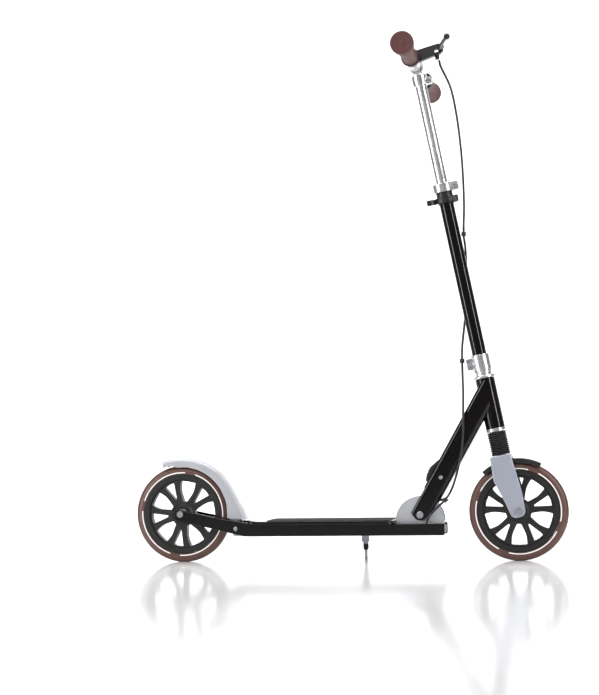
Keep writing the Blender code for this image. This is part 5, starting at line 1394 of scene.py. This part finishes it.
class MakeColumn(bpy.types.Operator):
    """The steering column, its nut, clamps and clips"""
    bl_idname = "scooter.column"
    bl_label = "Column"

    def execute(self, context):
        make_column()
        return {"FINISHED"}


class MakeHeightLever(bpy.types.Operator):
    """The thumb lever that frees the handlebar's post"""
    bl_idname = "scooter.height_lever"
    bl_label = "Height Lever"

    def execute(self, context):
        make_height_lever()
        return {"FINISHED"}


class MakeFork(bpy.types.Operator):
    """The fork, its bellows and the front fender"""
    bl_idname = "scooter.fork"
    bl_label = "Fork"

    def execute(self, context):
        make_fork()
        return {"FINISHED"}


class MakeHandlebar(bpy.types.Operator):
    """The handlebar, its post and its clamp"""
    bl_idname = "scooter.handlebar"
    bl_label = "Handlebar"

    def execute(self, context):
        make_handlebar()
        return {"FINISHED"}


class MakeGrips(bpy.types.Operator):
    """The two moulded grips"""
    bl_idname = "scooter.grips"
    bl_label = "Grips"

    def execute(self, context):
        make_grips()
        return {"FINISHED"}


class MakeBrake(bpy.types.Operator):
    """The brake lever and its perch"""
    bl_idname = "scooter.brake"
    bl_label = "Brake"

    def execute(self, context):
        make_brake()
        return {"FINISHED"}


class MakeCables(bpy.types.Operator):
    """The brake cable, in four runs from the perch to the rear of the deck"""
    bl_idname = "scooter.cables"
    bl_label = "Cables"

    def execute(self, context):
        make_cables()
        return {"FINISHED"}


class DressInnerParts(bpy.types.Operator):
    """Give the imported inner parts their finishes"""
    bl_idname = "scooter.inner_parts"
    bl_label = "Inner Parts"

    def execute(self, context):
        dress_carried_over()
        return {"FINISHED"}


class MakeStage(bpy.types.Operator):
    """The studio floor, its lights and the camera"""
    bl_idname = "scooter.stage"
    bl_label = "Stage"

    def execute(self, context):
        make_stage()
        return {"FINISHED"}


OPERATORS = (MakeStage, MakeFinishes, MakeCables, MakeWheels, MakeDeck, MakeKickstand, MakeRearFender,
             MakeNeck, MakeColumn, MakeHeightLever, MakeFork, MakeHandlebar, MakeGrips, MakeBrake,
             DressInnerParts)


class ScooterPanel(bpy.types.Panel):
    """Lists the pieces, and the sizes and colours that they take"""
    bl_idname = "VIEW3D_PT_scooter"
    bl_label = "Kick Scooter"
    bl_space_type = "VIEW_3D"
    bl_region_type = "UI"
    bl_category = "Scooter"

    def draw(self, context):
        layout = self.layout
        for group in (context.scene.scooter_sizes, context.scene.scooter_colours):
            column = layout.column(align=True)
            for name in group.bl_rna.properties.keys():
                if name not in {"rna_type", "name"}:
                    column.prop(group, name)
        for operator in OPERATORS:
            layout.operator(operator.bl_idname)


CLASSES = (ScooterColours, ScooterSizes, *OPERATORS, ScooterPanel)


def register():
    for made in CLASSES:
        bpy.utils.register_class(made)
    bpy.types.Scene.scooter_colours = PointerProperty(type=ScooterColours)
    bpy.types.Scene.scooter_sizes = PointerProperty(type=ScooterSizes)


def unregister():
    del bpy.types.Scene.scooter_sizes
    del bpy.types.Scene.scooter_colours
    for made in reversed(CLASSES):
        bpy.utils.unregister_class(made)


def main():
    register()
    for operator in OPERATORS:
        group, name = operator.bl_idname.split(".")
        getattr(getattr(bpy.ops, group), name)()


if __name__ == "__main__":
    main()
